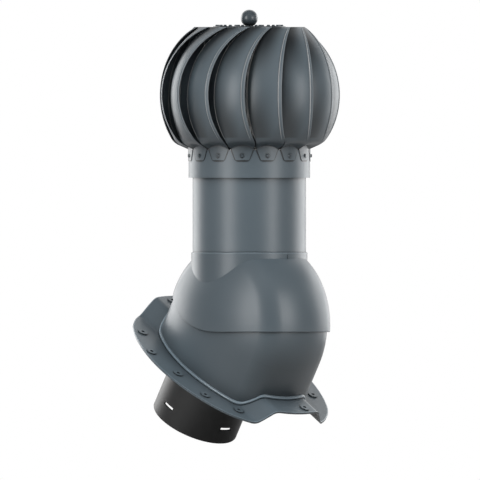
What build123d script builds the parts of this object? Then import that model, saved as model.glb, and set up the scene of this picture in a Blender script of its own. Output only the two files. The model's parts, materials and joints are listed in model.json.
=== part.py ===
from build123d import *
from math import acos, asin, atan2, cos, degrees, pi, radians, sin, sqrt, tan
import os

# Rotating chimney cowl for a pitched roof. Millimetres.
# The origin is where the duct axis crosses the roof's valley plane.
# +Z is up, +X is down the slope and +Y runs along the roof.

# Roof and hood pivot
ROOF_PITCH = 32.0
PIVOT_ABOVE_ROOF = 76.6
PIVOT_DOWNSLOPE = 25.4

# Hood and base shells, swung about the pivot axis along Y
HOOD_HALF_LENGTH = 124.0
HOOD_HALF_WIDTH = 91.0
OVAL_CORNER_RADIUS = 50.0
OVAL_CROWN_ANGLE = 21.0
OVAL_CORNER_ANGLE = 62.0
HOOD_WALL = 2.2
HOOD_GAP = 2.0
BASE_WALL = 3.0

# Hood edge: level at the front, then one arc up to the rear
HOOD_EDGE_DROP = 9.7
HOOD_EDGE_BEND_START = 30.0
HOOD_EDGE_BEND_RADIUS = 166.7

# Hood collar
COLLAR_RADIUS = 82.0
COLLAR_RISE = 8.5
COLLAR_BORE_RADIUS = 80.7
COLLAR_SEAT_DEPTH = 7.0
COLLAR_THROAT_RADIUS = 77.5
COLLAR_EDGE_ROUND = 0.6
INDEX_RIB_WIDTH = 2.5
INDEX_RIB_PROUD = 0.9
INDEX_RIB_LENGTH = 7.0
INDEX_RIB_BELOW_TOP = 3.0

# Stack tube and its seal
STACK_RADIUS = 80.0
STACK_WALL = 0.8
STACK_ABOVE_BRACKET = 11.0
SEAL_HEIGHT = 4.0
SEAL_CLEARANCE = 0.1

# Opening in the top of the base shell, as angles from vertical
BASE_MOUTH_FRONT = 62.0
BASE_MOUTH_REAR = 42.0
BASE_MOUTH_HALF_WIDTH = 74.0

# Wavy roof flange
VALLEY_HALF_PITCH = 61.0
CREST_HALF_WIDTH = 39.0
CREST_HEIGHT = 24.3
FLANGE_THICKNESS = 2.6
FLANGE_HALF_LENGTH = 156.0
FLANGE_HALF_WIDTH = 131.0
FLANGE_CORNER_RADIUS = 100.0
FLANGE_CROWN_ANGLE = 16.0
FLANGE_CORNER_ANGLE = 63.0
WAVE_BEND_RADIUS = 14.0
FOOT_BEAD_HEIGHT = 4.5
FOOT_BEAD_PROUD = 1.8

# Screw bosses on the flange
BOSS_RADIUS = 7.0
BOSS_HEIGHT = 1.8
BOSS_HOLE_RADIUS = 2.5
BOSS_ALONG = (-97.0, -45.0, 13.0, 70.0, 111.0)
BOSS_ACROSS = (93.0, 116.0, 110.0, 102.0, 70.0)
CREST_BOSS_ALONG = (-142.0, 143.0)
CREST_BOSS_ACROSS = (-14.0, 19.0)

# Base plate, duct spigot and seal
PLATE_THICKNESS = 3.0
PLATE_CLEARANCE = 0.3
PLATE_ABOVE_CREST = 3.0
SOCKET_HEIGHT = 16.0
SOCKET_WALL = 3.0
SPIGOT_RADIUS = 62.5
SPIGOT_WALL = 3.0
SPIGOT_LENGTH_BELOW_ROOF = 98.5
SPIGOT_STEP = 1.0
SPIGOT_STEP_HEIGHT = 2.0
SPIGOT_SHOULDER = 4.0
SPIGOT_SHOULDER_HEIGHT = 12.0
SLOT_WIDTH = 20.0
SLOT_HEIGHT = 4.5
SLOT_ABOVE_END = 23.6
SPIGOT_SEAL_THICKNESS = 1.5
LUG_RADIUS = 6.0
LUG_HEIGHT = 14.0
LUG_ANGLE = 42.0
PLATE_SCREW_RADIUS = 2.0
PLATE_SCREW_HEAD_RADIUS = 3.8
PLATE_SCREW_HEAD_HEIGHT = 2.2
PLATE_SCREW_DEPTH = 9.0

# Trunnions that carry the hood in the base
TRUNNION_RADIUS = 6.0
TRUNNION_FIT = 0.05
TRUNNION_PAST_WALL = 0.6
PIVOT_WASHER_RADIUS = 10.0
PIVOT_WASHER_THICKNESS = 1.5
PIVOT_SCREW_RADIUS = 2.4
PIVOT_SCREW_HEAD_RADIUS = 4.6
PIVOT_SCREW_HEAD_HEIGHT = 2.8
PIVOT_SCREW_DEPTH = 5.0

# Rotor: an ellipse in side view, blades like shingles in plan
BLADE_COUNT = 15
ROTOR_RADIUS = 127.6
ROTOR_HALF_HEIGHT = 121.0
ROTOR_MIDDLE = 323.6
BLADE_THICKNESS = 0.7
BLADE_TOP = 419.2
BLADE_BOTTOM = 255.9
BLADE_PLANE_OFFSET = 66.5
BLADE_STEP_MIDDLE = 13.0
BLADE_STEP_END = 2.4
BLADE_STEP_FULLNESS = 0.7
BLADE_BULGE = 2.3
BLADE_SPAN_BOTTOM = 22.6
BLADE_SPAN_TOP = 23.3
BLADE_FIRST_ANGLE = -45.0
BLADE_GAP_ANGLE = 0.7
BLADE_ROWS = 12
BLADE_COLUMNS = 6
SHELF_INNER_HEIGHT = 247.4
TAB_BOTTOM = 229.8
TAB_FOOT_SHARE = 0.58
TAB_CORNER_RADIUS = 4.0
RING_RIVET_HEIGHT = 237.9

# Rotor ring
RING_RADIUS = 85.7
RING_WALL = 0.8
RING_BOTTOM = 206.8
RING_TOP = 246.0

# Crown plate and finial
CROWN_RADIUS = 51.0
CROWN_THICKNESS = 1.2
CROWN_FLANGE_INNER = 40.0
CROWN_RIVET_CIRCLE = 45.8
FINIAL_RADIUS = 12.0
FINIAL_NECK_RADIUS = 6.0
FINIAL_NECK_HEIGHT = 0.8
FINIAL_STUD_RADIUS = 4.0
FINIAL_STUD_LENGTH = 8.0

# Rivets
RIVET_RADIUS = 1.6
RIVET_HEAD_RADIUS = 2.9
RIVET_HEAD_HEIGHT = 2.0
RIVET_CROWN_SHARE = 0.6
RIVET_TAIL_RADIUS = 2.3
RIVET_TAIL_HEIGHT = 1.1
RIVET_FIT = 0.05

# Axle, bearings and bracket
AXLE_RADIUS = 5.0
AXLE_BELOW_BRACKET = 13.0
AXLE_TOP = 408.0
AXLE_FIT = 0.02
RUNNING_FIT = 0.06
BEARING_RADIUS = 15.0
BEARING_HEIGHT = 9.0
BEARING_INNER_RADIUS = 8.0
BEARING_OUTER_BORE = 12.2
BEARING_BALL_RADIUS = 2.4
BEARING_BALL_COUNT = 8
BEARING_BALL_GAP = 0.1
HOUSING_WALL = 2.5
HOUSING_FLANGE_RADIUS = 27.0
HOUSING_FLANGE_THICKNESS = 2.0
HOUSING_SHOULDER = 1.5
HOUSING_BOSS_RADIUS = 8.0
CIRCLIP_THICKNESS = 1.2
CIRCLIP_SKIRT = 1.5
HOUSING_RIVET_COUNT = 4
HOUSING_RIVET_CIRCLE = 22.5
NUT_ACROSS_FLATS = 17.0
NUT_HEIGHT = 6.0
WASHER_RADIUS = 11.0
WASHER_THICKNESS = 1.6
NUT_TO_BUSH = 6.4
BRACKET_STRAP = 18.0
BRACKET_THICKNESS = 2.5
BRACKET_FOOT = 13.0
BRACKET_HUB_RADIUS = 19.0
ARM_COUNT = 3
SPIDER_ABOVE_RIVET = 2.1
SPIDER_STRAP = 14.0
SPIDER_THICKNESS = 2.0
SPIDER_FOOT = 9.0
SPIDER_HUB_RADIUS = 16.0
BUSH_RADIUS = 9.0
BUSH_FLANGE_RADIUS = 13.0
BUSH_FLANGE_HEIGHT = 2.5
BUSH_LENGTH = 12.0
COLLAR_RING_RADIUS = 7.6
COLLAR_RING_HEIGHT = 5.0

# Places worked out from the sizes above
PIVOT = (
    PIVOT_DOWNSLOPE * cos(radians(ROOF_PITCH)) + PIVOT_ABOVE_ROOF * sin(radians(ROOF_PITCH)),
    0.0,
    PIVOT_ABOVE_ROOF * cos(radians(ROOF_PITCH)) - PIVOT_DOWNSLOPE * sin(radians(ROOF_PITCH)),
)
BASE_INSET = HOOD_WALL + HOOD_GAP
PITCH_ANGLE = 360.0 / BLADE_COUNT
TAB_RADIUS = RING_RADIUS + BLADE_THICKNESS / 2 + RIVET_FIT
CAVITY_INSET = BASE_INSET + BASE_WALL
PLATE_LIFT = CREST_HEIGHT + PLATE_ABOVE_CREST
COLLAR_TOP = sqrt(HOOD_HALF_LENGTH**2 - COLLAR_RADIUS**2) + COLLAR_RISE
STACK_BOTTOM = COLLAR_TOP - COLLAR_SEAT_DEPTH
SPIDER_HEIGHT = RING_RIVET_HEIGHT + SPIDER_ABOVE_RIVET
UPPER_NUT_TOP = SPIDER_HEIGHT - BUSH_FLANGE_HEIGHT - NUT_TO_BUSH
BRACKET_HEIGHT = UPPER_NUT_TOP - NUT_HEIGHT - WASHER_THICKNESS - BRACKET_THICKNESS
STACK_TOP = BRACKET_HEIGHT + STACK_ABOVE_BRACKET
AXLE_BOTTOM = BRACKET_HEIGHT - AXLE_BELOW_BRACKET
BEARING_TOP = AXLE_TOP - NUT_HEIGHT - 1.0


def on_roof(shape):
    """Turn a shape modelled flat on the roof plane to the roof's slope."""
    return Rot(0, ROOF_PITCH, 0) * shape


def at_pivot(shape):
    """Place a shape modelled about the hood's pivot."""
    return Pos(*PIVOT) * shape


def oval_sizes(half_length, half_width, corner, crown_angle, corner_angle):
    """Radii and centres of an oval drawn with crown, corner and side arcs."""
    c1 = cos(radians(crown_angle))
    s1 = sin(radians(crown_angle))
    c2 = cos(radians(corner_angle))
    s2 = sin(radians(corner_angle))
    right_x = half_length - corner * (c1 - c2)
    right_y = half_width - corner * (s2 - s1)
    crown = (right_x * (1 - s2) - right_y * c2) / ((1 - c1) * (1 - s2) - s1 * c2)
    side = (right_x - crown * (1 - c1)) / c2
    crown_x = half_length - crown
    corner_x = crown_x + (crown - corner) * c1
    corner_y = (crown - corner) * s1
    side_y = half_width - side
    return crown, side, crown_x, corner_x, corner_y, side_y


def oval(half_length, half_width, corner, crown_angle, corner_angle, inset=0.0):
    """Closed oval face of eight tangent arcs, moved in by the inset all round."""
    crown, side, crown_x, corner_x, corner_y, side_y = oval_sizes(
        half_length, half_width, corner, crown_angle, corner_angle
    )
    turn = corner_angle - crown_angle
    side_turn = 180 - 2 * corner_angle
    r_crown = crown - inset
    r_corner = corner - inset
    r_side = side - inset
    arcs = [
        CenterArc((crown_x, 0), r_crown, -crown_angle, 2 * crown_angle),
        CenterArc((corner_x, corner_y), r_corner, crown_angle, turn),
        CenterArc((0, side_y), r_side, corner_angle, side_turn),
        CenterArc((-corner_x, corner_y), r_corner, 180 - corner_angle, turn),
        CenterArc((-crown_x, 0), r_crown, 180 - crown_angle, 2 * crown_angle),
        CenterArc((-corner_x, -corner_y), r_corner, 180 + crown_angle, turn),
        CenterArc((0, -side_y), r_side, 180 + corner_angle, side_turn),
        CenterArc((corner_x, -corner_y), r_corner, 360 - corner_angle, turn),
    ]
    return make_face(arcs)


def shell_oval(inset):
    """The oval that both shells share, moved in by the inset."""
    return oval(
        HOOD_HALF_LENGTH,
        HOOD_HALF_WIDTH,
        OVAL_CORNER_RADIUS,
        OVAL_CROWN_ANGLE,
        OVAL_CORNER_ANGLE,
        inset,
    )


def drum(inset):
    """Half the oval turned once about the pivot axis."""
    half = shell_oval(inset) & Pos(HOOD_HALF_LENGTH, 0) * Rectangle(
        2 * HOOD_HALF_LENGTH, 4 * HOOD_HALF_WIDTH
    )
    return revolve(half, Axis.Y, 360)


def upright(radius, bottom, top):
    """Cylinder about the Z axis between two heights."""
    return Pos(0, 0, (bottom + top) / 2) * Cylinder(radius, top - bottom)


def tube(outer, inner, bottom, top):
    """Open tube about the Z axis between two heights."""
    return upright(outer, bottom, top) - upright(inner, bottom - 1, top + 1)


def hood_edge_region():
    """Everything above the hood's lower edge, as a wide prism along Y."""
    reach = 2 * HOOD_HALF_LENGTH
    centre = (HOOD_EDGE_BEND_START, HOOD_EDGE_BEND_RADIUS - HOOD_EDGE_DROP)
    front = Line((reach, -HOOD_EDGE_DROP), (HOOD_EDGE_BEND_START, -HOOD_EDGE_DROP))
    bend = CenterArc(centre, HOOD_EDGE_BEND_RADIUS, -90, -75)
    rear = Line(bend @ 1, (-reach, reach))
    top = Line((-reach, reach), (reach, reach))
    end = Line((reach, reach), (reach, -HOOD_EDGE_DROP))
    face = make_face([front, bend, rear, top, end])
    return extrude(Plane.XZ * face, 2 * HOOD_HALF_WIDTH, both=True)


def trunnion(side):
    """Stub on the hood's inner wall that turns in the base's side wall."""
    start = HOOD_HALF_WIDTH - HOOD_WALL / 2
    end = HOOD_HALF_WIDTH - CAVITY_INSET - TRUNNION_PAST_WALL
    stub = Pos(0, side * (start + end) / 2, 0) * (Rot(90, 0, 0) * Cylinder(TRUNNION_RADIUS, start - end))
    pilot = PIVOT_SCREW_RADIUS
    hole = Pos(0, side * (end + PIVOT_SCREW_DEPTH / 2), 0) * (
        Rot(90, 0, 0) * Cylinder(pilot, PIVOT_SCREW_DEPTH)
    )
    return stub - hole


def make_hood():
    """Drum shell with a round collar, cut to its lower edge, with two trunnions."""
    body = drum(0) + upright(COLLAR_RADIUS, 0, COLLAR_TOP)
    body -= drum(HOOD_WALL)
    body -= upright(COLLAR_THROAT_RADIUS, 0, 2 * HOOD_HALF_LENGTH)
    body -= upright(COLLAR_BORE_RADIUS, STACK_BOTTOM, 2 * HOOD_HALF_LENGTH)
    body &= hood_edge_region()
    rim = body.edges().filter_by(GeomType.CIRCLE).group_by(Axis.Z)[-1].sort_by(SortBy.LENGTH)[-1]
    body = fillet(rim, COLLAR_EDGE_ROUND)
    rib_top = COLLAR_TOP - INDEX_RIB_BELOW_TOP
    rib = Pos(COLLAR_RADIUS, 0, rib_top - INDEX_RIB_LENGTH / 2) * Box(
        2 * INDEX_RIB_PROUD, INDEX_RIB_WIDTH, INDEX_RIB_LENGTH
    )
    body += rib
    for side in (-1, 1):
        body += trunnion(side)
    return at_pivot(body)


def make_pivot_washers():
    """Washers inside the base that keep the trunnions in their holes."""
    inner = HOOD_HALF_WIDTH - CAVITY_INSET - TRUNNION_PAST_WALL
    washers = []
    for side in (-1, 1):
        ring = Cylinder(PIVOT_WASHER_RADIUS, PIVOT_WASHER_THICKNESS) - Cylinder(
            PIVOT_SCREW_RADIUS, 2 * PIVOT_WASHER_THICKNESS
        )
        place = Pos(0, side * (inner - PIVOT_WASHER_THICKNESS / 2), 0) * Rot(90, 0, 0)
        washers.append(at_pivot(place * ring))
    return Compound(washers)


def make_pivot_screws():
    """Pan-head screws driven into the trunnions from inside."""
    seat = HOOD_HALF_WIDTH - CAVITY_INSET - TRUNNION_PAST_WALL - PIVOT_WASHER_THICKNESS
    screws = []
    for side in (-1, 1):
        shank_length = PIVOT_WASHER_THICKNESS + PIVOT_SCREW_DEPTH
        shank = upright(PIVOT_SCREW_RADIUS, 0, shank_length)
        head = upright(PIVOT_SCREW_HEAD_RADIUS, -PIVOT_SCREW_HEAD_HEIGHT, 0)
        head = fillet(head.edges().group_by(Axis.Z)[0], PIVOT_SCREW_HEAD_HEIGHT * 0.6)
        screw = Rot(-90 * side, 0, 0) * (shank + head)
        screws.append(at_pivot(Pos(0, side * seat, 0) * screw))
    return Compound(screws)


def wave_line(lift):
    """Cross-section line of the wavy flange, lifted by a height, valley to valley."""
    reach = 2 * FLANGE_HALF_WIDTH
    points = [
        (-reach, lift),
        (-VALLEY_HALF_PITCH, lift),
        (-CREST_HALF_WIDTH, CREST_HEIGHT + lift),
        (CREST_HALF_WIDTH, CREST_HEIGHT + lift),
        (VALLEY_HALF_PITCH, lift),
        (reach, lift),
    ]
    return FilletPolyline(*points, radius=WAVE_BEND_RADIUS)


def wave_slab(bottom_lift, top_lift):
    """Slab that follows the roof wave between two lifts, long in the slope direction."""
    reach = 2 * FLANGE_HALF_WIDTH
    lower = wave_line(bottom_lift)
    upper = wave_line(top_lift)
    left = Line((-reach, bottom_lift), (-reach, top_lift))
    right = Line((reach, bottom_lift), (reach, top_lift))
    face = make_face([lower, right, upper, left])
    return extrude(Plane.YZ * face, 2 * FLANGE_HALF_LENGTH, both=True)


def base_solid(inset, depth):
    """Drum above the pivot level and a straight oval wall below it."""
    wall = Pos(0, 0, -depth) * extrude(shell_oval(inset), depth)
    return Pos(PIVOT_DOWNSLOPE, 0, PIVOT_ABOVE_ROOF) * (drum(inset) + wall)


def base_mouth():
    """Wedge through the top of the base shell that the stack looks through."""
    reach = 1.5 * HOOD_HALF_LENGTH
    front = radians(BASE_MOUTH_FRONT - ROOF_PITCH)
    rear = radians(BASE_MOUTH_REAR + ROOF_PITCH)
    outline = Polyline(
        (0, 0),
        (reach * sin(front), reach * cos(front)),
        (0, 1.5 * reach),
        (-reach * sin(rear), reach * cos(rear)),
        close=True,
    )
    wedge = extrude(Plane.XZ * make_face(outline), BASE_MOUTH_HALF_WIDTH, both=True)
    return Pos(PIVOT_DOWNSLOPE, 0, PIVOT_ABOVE_ROOF) * wedge


def boss_places():
    """Screw boss positions on the flange: five each side and one at each end of the crest."""
    row = zip(BOSS_ALONG, BOSS_ACROSS)
    ends = zip(CREST_BOSS_ALONG, CREST_BOSS_ACROSS)
    places = [(PIVOT_DOWNSLOPE + u, side * v, 0.0) for u, v in row for side in (-1, 1)]
    return places + [(PIVOT_DOWNSLOPE + u, v, CREST_HEIGHT) for u, v in ends]


def lug_places():
    """Places of the four lugs in the corners of the base's cavity."""
    sizes = oval_sizes(
        HOOD_HALF_LENGTH, HOOD_HALF_WIDTH, OVAL_CORNER_RADIUS, OVAL_CROWN_ANGLE, OVAL_CORNER_ANGLE
    )
    reach = OVAL_CORNER_RADIUS - CAVITY_INSET - LUG_RADIUS + BASE_WALL / 2
    across = sizes[3] + reach * cos(radians(LUG_ANGLE))
    side = sizes[4] + reach * sin(radians(LUG_ANGLE))
    return [(PIVOT_DOWNSLOPE + i * across, j * side) for i in (-1, 1) for j in (-1, 1)]


def make_roof_base():
    """Lower moulding: dome wall, foot bead, wavy flange, screw bosses and inner lugs."""
    depth = PIVOT_ABOVE_ROOF + CREST_HEIGHT
    above_roof = wave_slab(0, 4 * HOOD_HALF_LENGTH)
    dome = base_solid(BASE_INSET, depth) & above_roof
    outline = oval(
        FLANGE_HALF_LENGTH,
        FLANGE_HALF_WIDTH,
        FLANGE_CORNER_RADIUS,
        FLANGE_CROWN_ANGLE,
        FLANGE_CORNER_ANGLE,
    )
    trim = Pos(PIVOT_DOWNSLOPE, 0, -depth) * extrude(outline, 3 * depth)
    flange = wave_slab(0, FLANGE_THICKNESS) & trim
    bead_wall = base_solid(BASE_INSET - FOOT_BEAD_PROUD, depth)
    bead = bead_wall & wave_slab(FLANGE_THICKNESS / 2, FLANGE_THICKNESS + FOOT_BEAD_HEIGHT)
    body = dome + flange + bead
    for u, v, crest in boss_places():
        top = crest + FLANGE_THICKNESS + BOSS_HEIGHT
        body += Pos(u, v, 0) * upright(BOSS_RADIUS, crest + FLANGE_THICKNESS / 2, top)
    body -= base_solid(CAVITY_INSET, depth)
    body -= base_mouth()
    for u, v, crest in boss_places():
        body -= Pos(u, v, 0) * upright(BOSS_HOLE_RADIUS, crest - depth, crest + depth)
    hole = Rot(90, 0, 0) * Cylinder(TRUNNION_RADIUS + TRUNNION_FIT, 4 * HOOD_HALF_WIDTH)
    body -= Pos(PIVOT_DOWNSLOPE, 0, PIVOT_ABOVE_ROOF) * hole
    lug_foot = PLATE_LIFT + PLATE_THICKNESS
    for u, v in lug_places():
        lug = upright(LUG_RADIUS, lug_foot, lug_foot + LUG_HEIGHT)
        lug -= upright(PLATE_SCREW_RADIUS, lug_foot - 1, lug_foot + PLATE_SCREW_DEPTH)
        body += Pos(u, v, 0) * lug
    return on_roof(body)


def step_radius():
    """Radius of the duct above the step that stops the pipe pushed over it."""
    return SPIGOT_RADIUS + SPIGOT_STEP


def socket_radius():
    """Inner radius of the base plate's socket, which the spigot's shoulder fills."""
    return SPIGOT_RADIUS + SPIGOT_SHOULDER + PLATE_CLEARANCE


def make_base_plate():
    """Oval plate low in the base, with the round socket that holds the spigot."""
    face = shell_oval(CAVITY_INSET + PLATE_CLEARANCE)
    plate = Pos(PIVOT_DOWNSLOPE, 0, PLATE_LIFT) * extrude(face, PLATE_THICKNESS)
    outer = socket_radius() + SOCKET_WALL
    plate += upright(outer, PLATE_LIFT, PLATE_LIFT + SOCKET_HEIGHT)
    plate -= upright(socket_radius(), PLATE_LIFT + PLATE_THICKNESS, PLATE_LIFT + 2 * SOCKET_HEIGHT)
    plate -= upright(step_radius() + PLATE_CLEARANCE, 0, PLATE_LIFT + 2 * PLATE_THICKNESS)
    for u, v in lug_places():
        plate -= Pos(u, v, 0) * upright(PLATE_SCREW_RADIUS + RIVET_FIT, 0, PLATE_LIFT + SOCKET_HEIGHT)
    return on_roof(plate)


def make_plate_screws():
    """Screws from below through the base plate into the lugs."""
    shank = upright(PLATE_SCREW_RADIUS, PLATE_LIFT, PLATE_LIFT + PLATE_THICKNESS + PLATE_SCREW_DEPTH)
    head = upright(PLATE_SCREW_HEAD_RADIUS, PLATE_LIFT - PLATE_SCREW_HEAD_HEIGHT, PLATE_LIFT)
    head = fillet(head.edges().group_by(Axis.Z)[0], PLATE_SCREW_HEAD_HEIGHT * 0.6)
    screw = shank + head
    return Compound([on_roof(Pos(u, v, 0) * screw) for u, v in lug_places()])


def make_spigot_seal():
    """Flat rubber ring under the spigot's shoulder."""
    seat = PLATE_LIFT + PLATE_THICKNESS
    outer = SPIGOT_RADIUS + SPIGOT_SHOULDER
    ring = tube(outer, step_radius() + PLATE_CLEARANCE, seat, seat + SPIGOT_SEAL_THICKNESS)
    return on_roof(ring)


def make_duct_spigot():
    """Round duct with a shoulder in the socket, a stop step and four slots near its end."""
    seat = PLATE_LIFT + PLATE_THICKNESS + SPIGOT_SEAL_THICKNESS
    top = seat + SPIGOT_SHOULDER_HEIGHT
    body = upright(SPIGOT_RADIUS, -SPIGOT_LENGTH_BELOW_ROOF, top)
    body += upright(step_radius(), SPIGOT_STEP_HEIGHT, top)
    body += upright(SPIGOT_RADIUS + SPIGOT_SHOULDER, seat, top)
    body -= upright(SPIGOT_RADIUS - SPIGOT_WALL, -2 * SPIGOT_LENGTH_BELOW_ROOF, 2 * top)
    height = -SPIGOT_LENGTH_BELOW_ROOF + SLOT_ABOVE_END
    slot = Box(3 * SPIGOT_RADIUS, SLOT_WIDTH, SLOT_HEIGHT)
    body -= Pos(0, 0, height) * slot
    body -= Pos(0, 0, height) * (Rot(0, 0, 90) * slot)
    return on_roof(body)


def make_stack_tube():
    """Plain round tube that stands in the collar and ends inside the rotor ring."""
    body = tube(STACK_RADIUS, STACK_RADIUS - STACK_WALL, STACK_BOTTOM, STACK_TOP)
    for i in range(ARM_COUNT):
        body -= Rot(0, 0, arm_azimuth(i)) * arm_rivet_hole(STACK_RADIUS, bracket_rivet_height())
    return at_pivot(body)


def make_tube_seal():
    """Rubber ring in the narrow space between the tube and the collar."""
    inner = STACK_RADIUS + SEAL_CLEARANCE
    outer = COLLAR_BORE_RADIUS - SEAL_CLEARANCE
    return at_pivot(tube(outer, inner, STACK_BOTTOM, STACK_BOTTOM + SEAL_HEIGHT))


def rotor_radius(angle):
    """Radius of the rotor's ellipse at an angle above its middle."""
    return ROTOR_RADIUS * cos(angle)


def rotor_height(angle):
    """Height of the rotor's ellipse at an angle above its middle."""
    return ROTOR_MIDDLE + ROTOR_HALF_HEIGHT * sin(angle)


def blade_angles():
    """Lowest and highest ellipse angle that the curved part of a blade reaches."""
    low = asin((BLADE_BOTTOM - ROTOR_MIDDLE) / ROTOR_HALF_HEIGHT)
    high = asin((BLADE_TOP - ROTOR_MIDDLE) / ROTOR_HALF_HEIGHT)
    return low, high


def outer_edge_azimuth(radius):
    """Azimuth of a blade's outer edge, which lies in one upright plane."""
    return asin(BLADE_PLANE_OFFSET / radius) - asin(BLADE_PLANE_OFFSET / ROTOR_RADIUS)


def blade_point(up, across):
    """Point on a blade: up from its bottom to its top, across from inner to outer edge."""
    low, high = blade_angles()
    angle = low + (high - low) * up
    swell = sin(pi * up)
    outer = rotor_radius(angle)
    step = BLADE_STEP_END + (BLADE_STEP_MIDDLE - BLADE_STEP_END) * swell**BLADE_STEP_FULLNESS
    span = radians(BLADE_SPAN_BOTTOM + (BLADE_SPAN_TOP - BLADE_SPAN_BOTTOM) * up)
    radius = outer - step * (1 - across) + 4 * BLADE_BULGE * swell * across * (1 - across)
    azimuth = outer_edge_azimuth(outer) - span * (1 - across)
    return Vector(radius * cos(azimuth), radius * sin(azimuth), rotor_height(angle))


def sheet(point, rows, columns):
    """Sheet of metal about a surface given by a function of two shares."""
    grid = [[point(i / rows, j / columns) for j in range(columns + 1)] for i in range(rows + 1)]
    face = Face.make_surface_from_array_of_points(grid)
    return thicken(face, amount=BLADE_THICKNESS / 2, both=True)


def blade_end(up):
    """Radius and azimuth in degrees of a blade's inner and outer corner at one end."""
    corners = []
    for across in (0, 1):
        corner = blade_point(up, across)
        corners.append((sqrt(corner.X**2 + corner.Y**2), degrees(atan2(corner.Y, corner.X))))
    return corners


def shelf_point(up, across):
    """Point on the shelf that runs from the blade's lower edge in to the ring."""
    edge = blade_point(0, across)
    radius = sqrt(edge.X**2 + edge.Y**2)
    azimuth = atan2(edge.Y, edge.X)
    inner = radius + (TAB_RADIUS - radius) * up
    height = edge.Z + (SHELF_INNER_HEIGHT - edge.Z) * up
    return Vector(inner * cos(azimuth), inner * sin(azimuth), height)


def tab_azimuth():
    """Azimuth of the middle of a blade's tab and of its ring rivet, in degrees."""
    (_, inner), (_, outer) = blade_end(0)
    return (inner + outer) / 2


def blade_tab():
    """Tapered tab with round lower corners that lies against the ring."""
    (_, inner), (_, outer) = blade_end(0)
    half_top = TAB_RADIUS * sin(radians(outer - inner) / 2)
    half_foot = half_top * TAB_FOOT_SHARE
    top = SHELF_INNER_HEIGHT + BLADE_THICKNESS / 2
    outline = make_face(
        Polyline(
            (-half_top, top),
            (-half_foot, TAB_BOTTOM),
            (half_foot, TAB_BOTTOM),
            (half_top, top),
            close=True,
        )
    )
    outline = fillet(outline.vertices().group_by(Axis.Y)[0], TAB_CORNER_RADIUS)
    cutter = extrude(Plane.YZ * outline, ROTOR_RADIUS)
    hole = Pos(0, 0, RING_RIVET_HEIGHT) * Rot(0, 90, 0) * Cylinder(RIVET_RADIUS + RIVET_FIT, 3 * RING_RADIUS)
    shell = tube(
        TAB_RADIUS + BLADE_THICKNESS / 2, TAB_RADIUS - BLADE_THICKNESS / 2, RING_BOTTOM, ROTOR_MIDDLE
    )
    return Rot(0, 0, tab_azimuth()) * ((shell & cutter) - hole)


def crown_rivet_azimuth():
    """Azimuth of a blade's crown rivet, in the middle of its top flange, in degrees."""
    (_, inner), (_, outer) = blade_end(1)
    return (inner + outer) / 2


def blade_flange():
    """Flat flange from the blade's upper edge in under the crown plate."""
    (inner_radius, inner), (outer_radius, outer) = blade_end(1)
    half = radians(PITCH_ANGLE - BLADE_GAP_ANGLE) / 2
    turn = radians(outer - inner) / 2
    outline = make_face(
        Polyline(
            (CROWN_FLANGE_INNER * cos(half), -CROWN_FLANGE_INNER * sin(half)),
            (inner_radius * cos(turn), -inner_radius * sin(turn)),
            (outer_radius, 0),
            (outer_radius * cos(turn), outer_radius * sin(turn)),
            (CROWN_FLANGE_INNER * cos(half), CROWN_FLANGE_INNER * sin(half)),
            close=True,
        )
    )
    plate = Pos(0, 0, BLADE_TOP - BLADE_THICKNESS / 2) * extrude(outline, BLADE_THICKNESS)
    hole = Pos(CROWN_RIVET_CIRCLE, 0, 0) * upright(RIVET_RADIUS + RIVET_FIT, ROTOR_MIDDLE, 2 * BLADE_TOP)
    return Rot(0, 0, crown_rivet_azimuth()) * (plate - hole)


def make_blade():
    """One pressed blade: curved vane, shelf, tab and top flange in one sheet."""
    vane = sheet(blade_point, BLADE_ROWS, BLADE_COLUMNS)
    shelf = sheet(shelf_point, 1, BLADE_COLUMNS)
    return vane + shelf + blade_tab() + blade_flange()


def rivet(grip):
    """Domed rivet along X: head outside, shank through the grip, small tail inside."""
    foot = -grip - RIVET_TAIL_HEIGHT
    outline = Polyline(
        (foot, 0),
        (-grip, RIVET_TAIL_RADIUS),
        (-grip, RIVET_RADIUS),
        (0, RIVET_RADIUS),
        (0, RIVET_HEAD_RADIUS),
        (RIVET_HEAD_HEIGHT, RIVET_HEAD_RADIUS * RIVET_CROWN_SHARE),
        (RIVET_HEAD_HEIGHT, 0),
        close=True,
    )
    return revolve(make_face(outline), Axis.X, 360)


def make_ring_rivets():
    """Rivets that hold the blades' tabs to the ring."""
    outside = TAB_RADIUS + BLADE_THICKNESS / 2
    rivets = []
    for i in range(BLADE_COUNT):
        through_spider = i % (BLADE_COUNT // ARM_COUNT) == 0
        wall = RING_WALL + (SPIDER_THICKNESS if through_spider else 0)
        grip = outside - RING_RADIUS + wall + RIVET_FIT
        one = Pos(outside, 0, RING_RIVET_HEIGHT) * rivet(grip)
        rivets.append(rotor_place(i, tab_azimuth()) * one)
    return Compound(rivets)


def make_crown_rivets():
    """Rivets that hold the blades' flanges to the crown plate."""
    top = BLADE_TOP + BLADE_THICKNESS / 2 + CROWN_THICKNESS
    one = Pos(CROWN_RIVET_CIRCLE, 0, top) * Rot(0, -90, 0) * rivet(CROWN_THICKNESS + BLADE_THICKNESS)
    return Compound([rotor_place(i, crown_rivet_azimuth()) * one for i in range(BLADE_COUNT)])


def rotor_place(index, azimuth=0.0):
    """Place in the rotor of the index-th blade, or of a rivet at its azimuth."""
    return Pos(*PIVOT) * Rot(0, 0, BLADE_FIRST_ANGLE + index * PITCH_ANGLE + azimuth)


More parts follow.
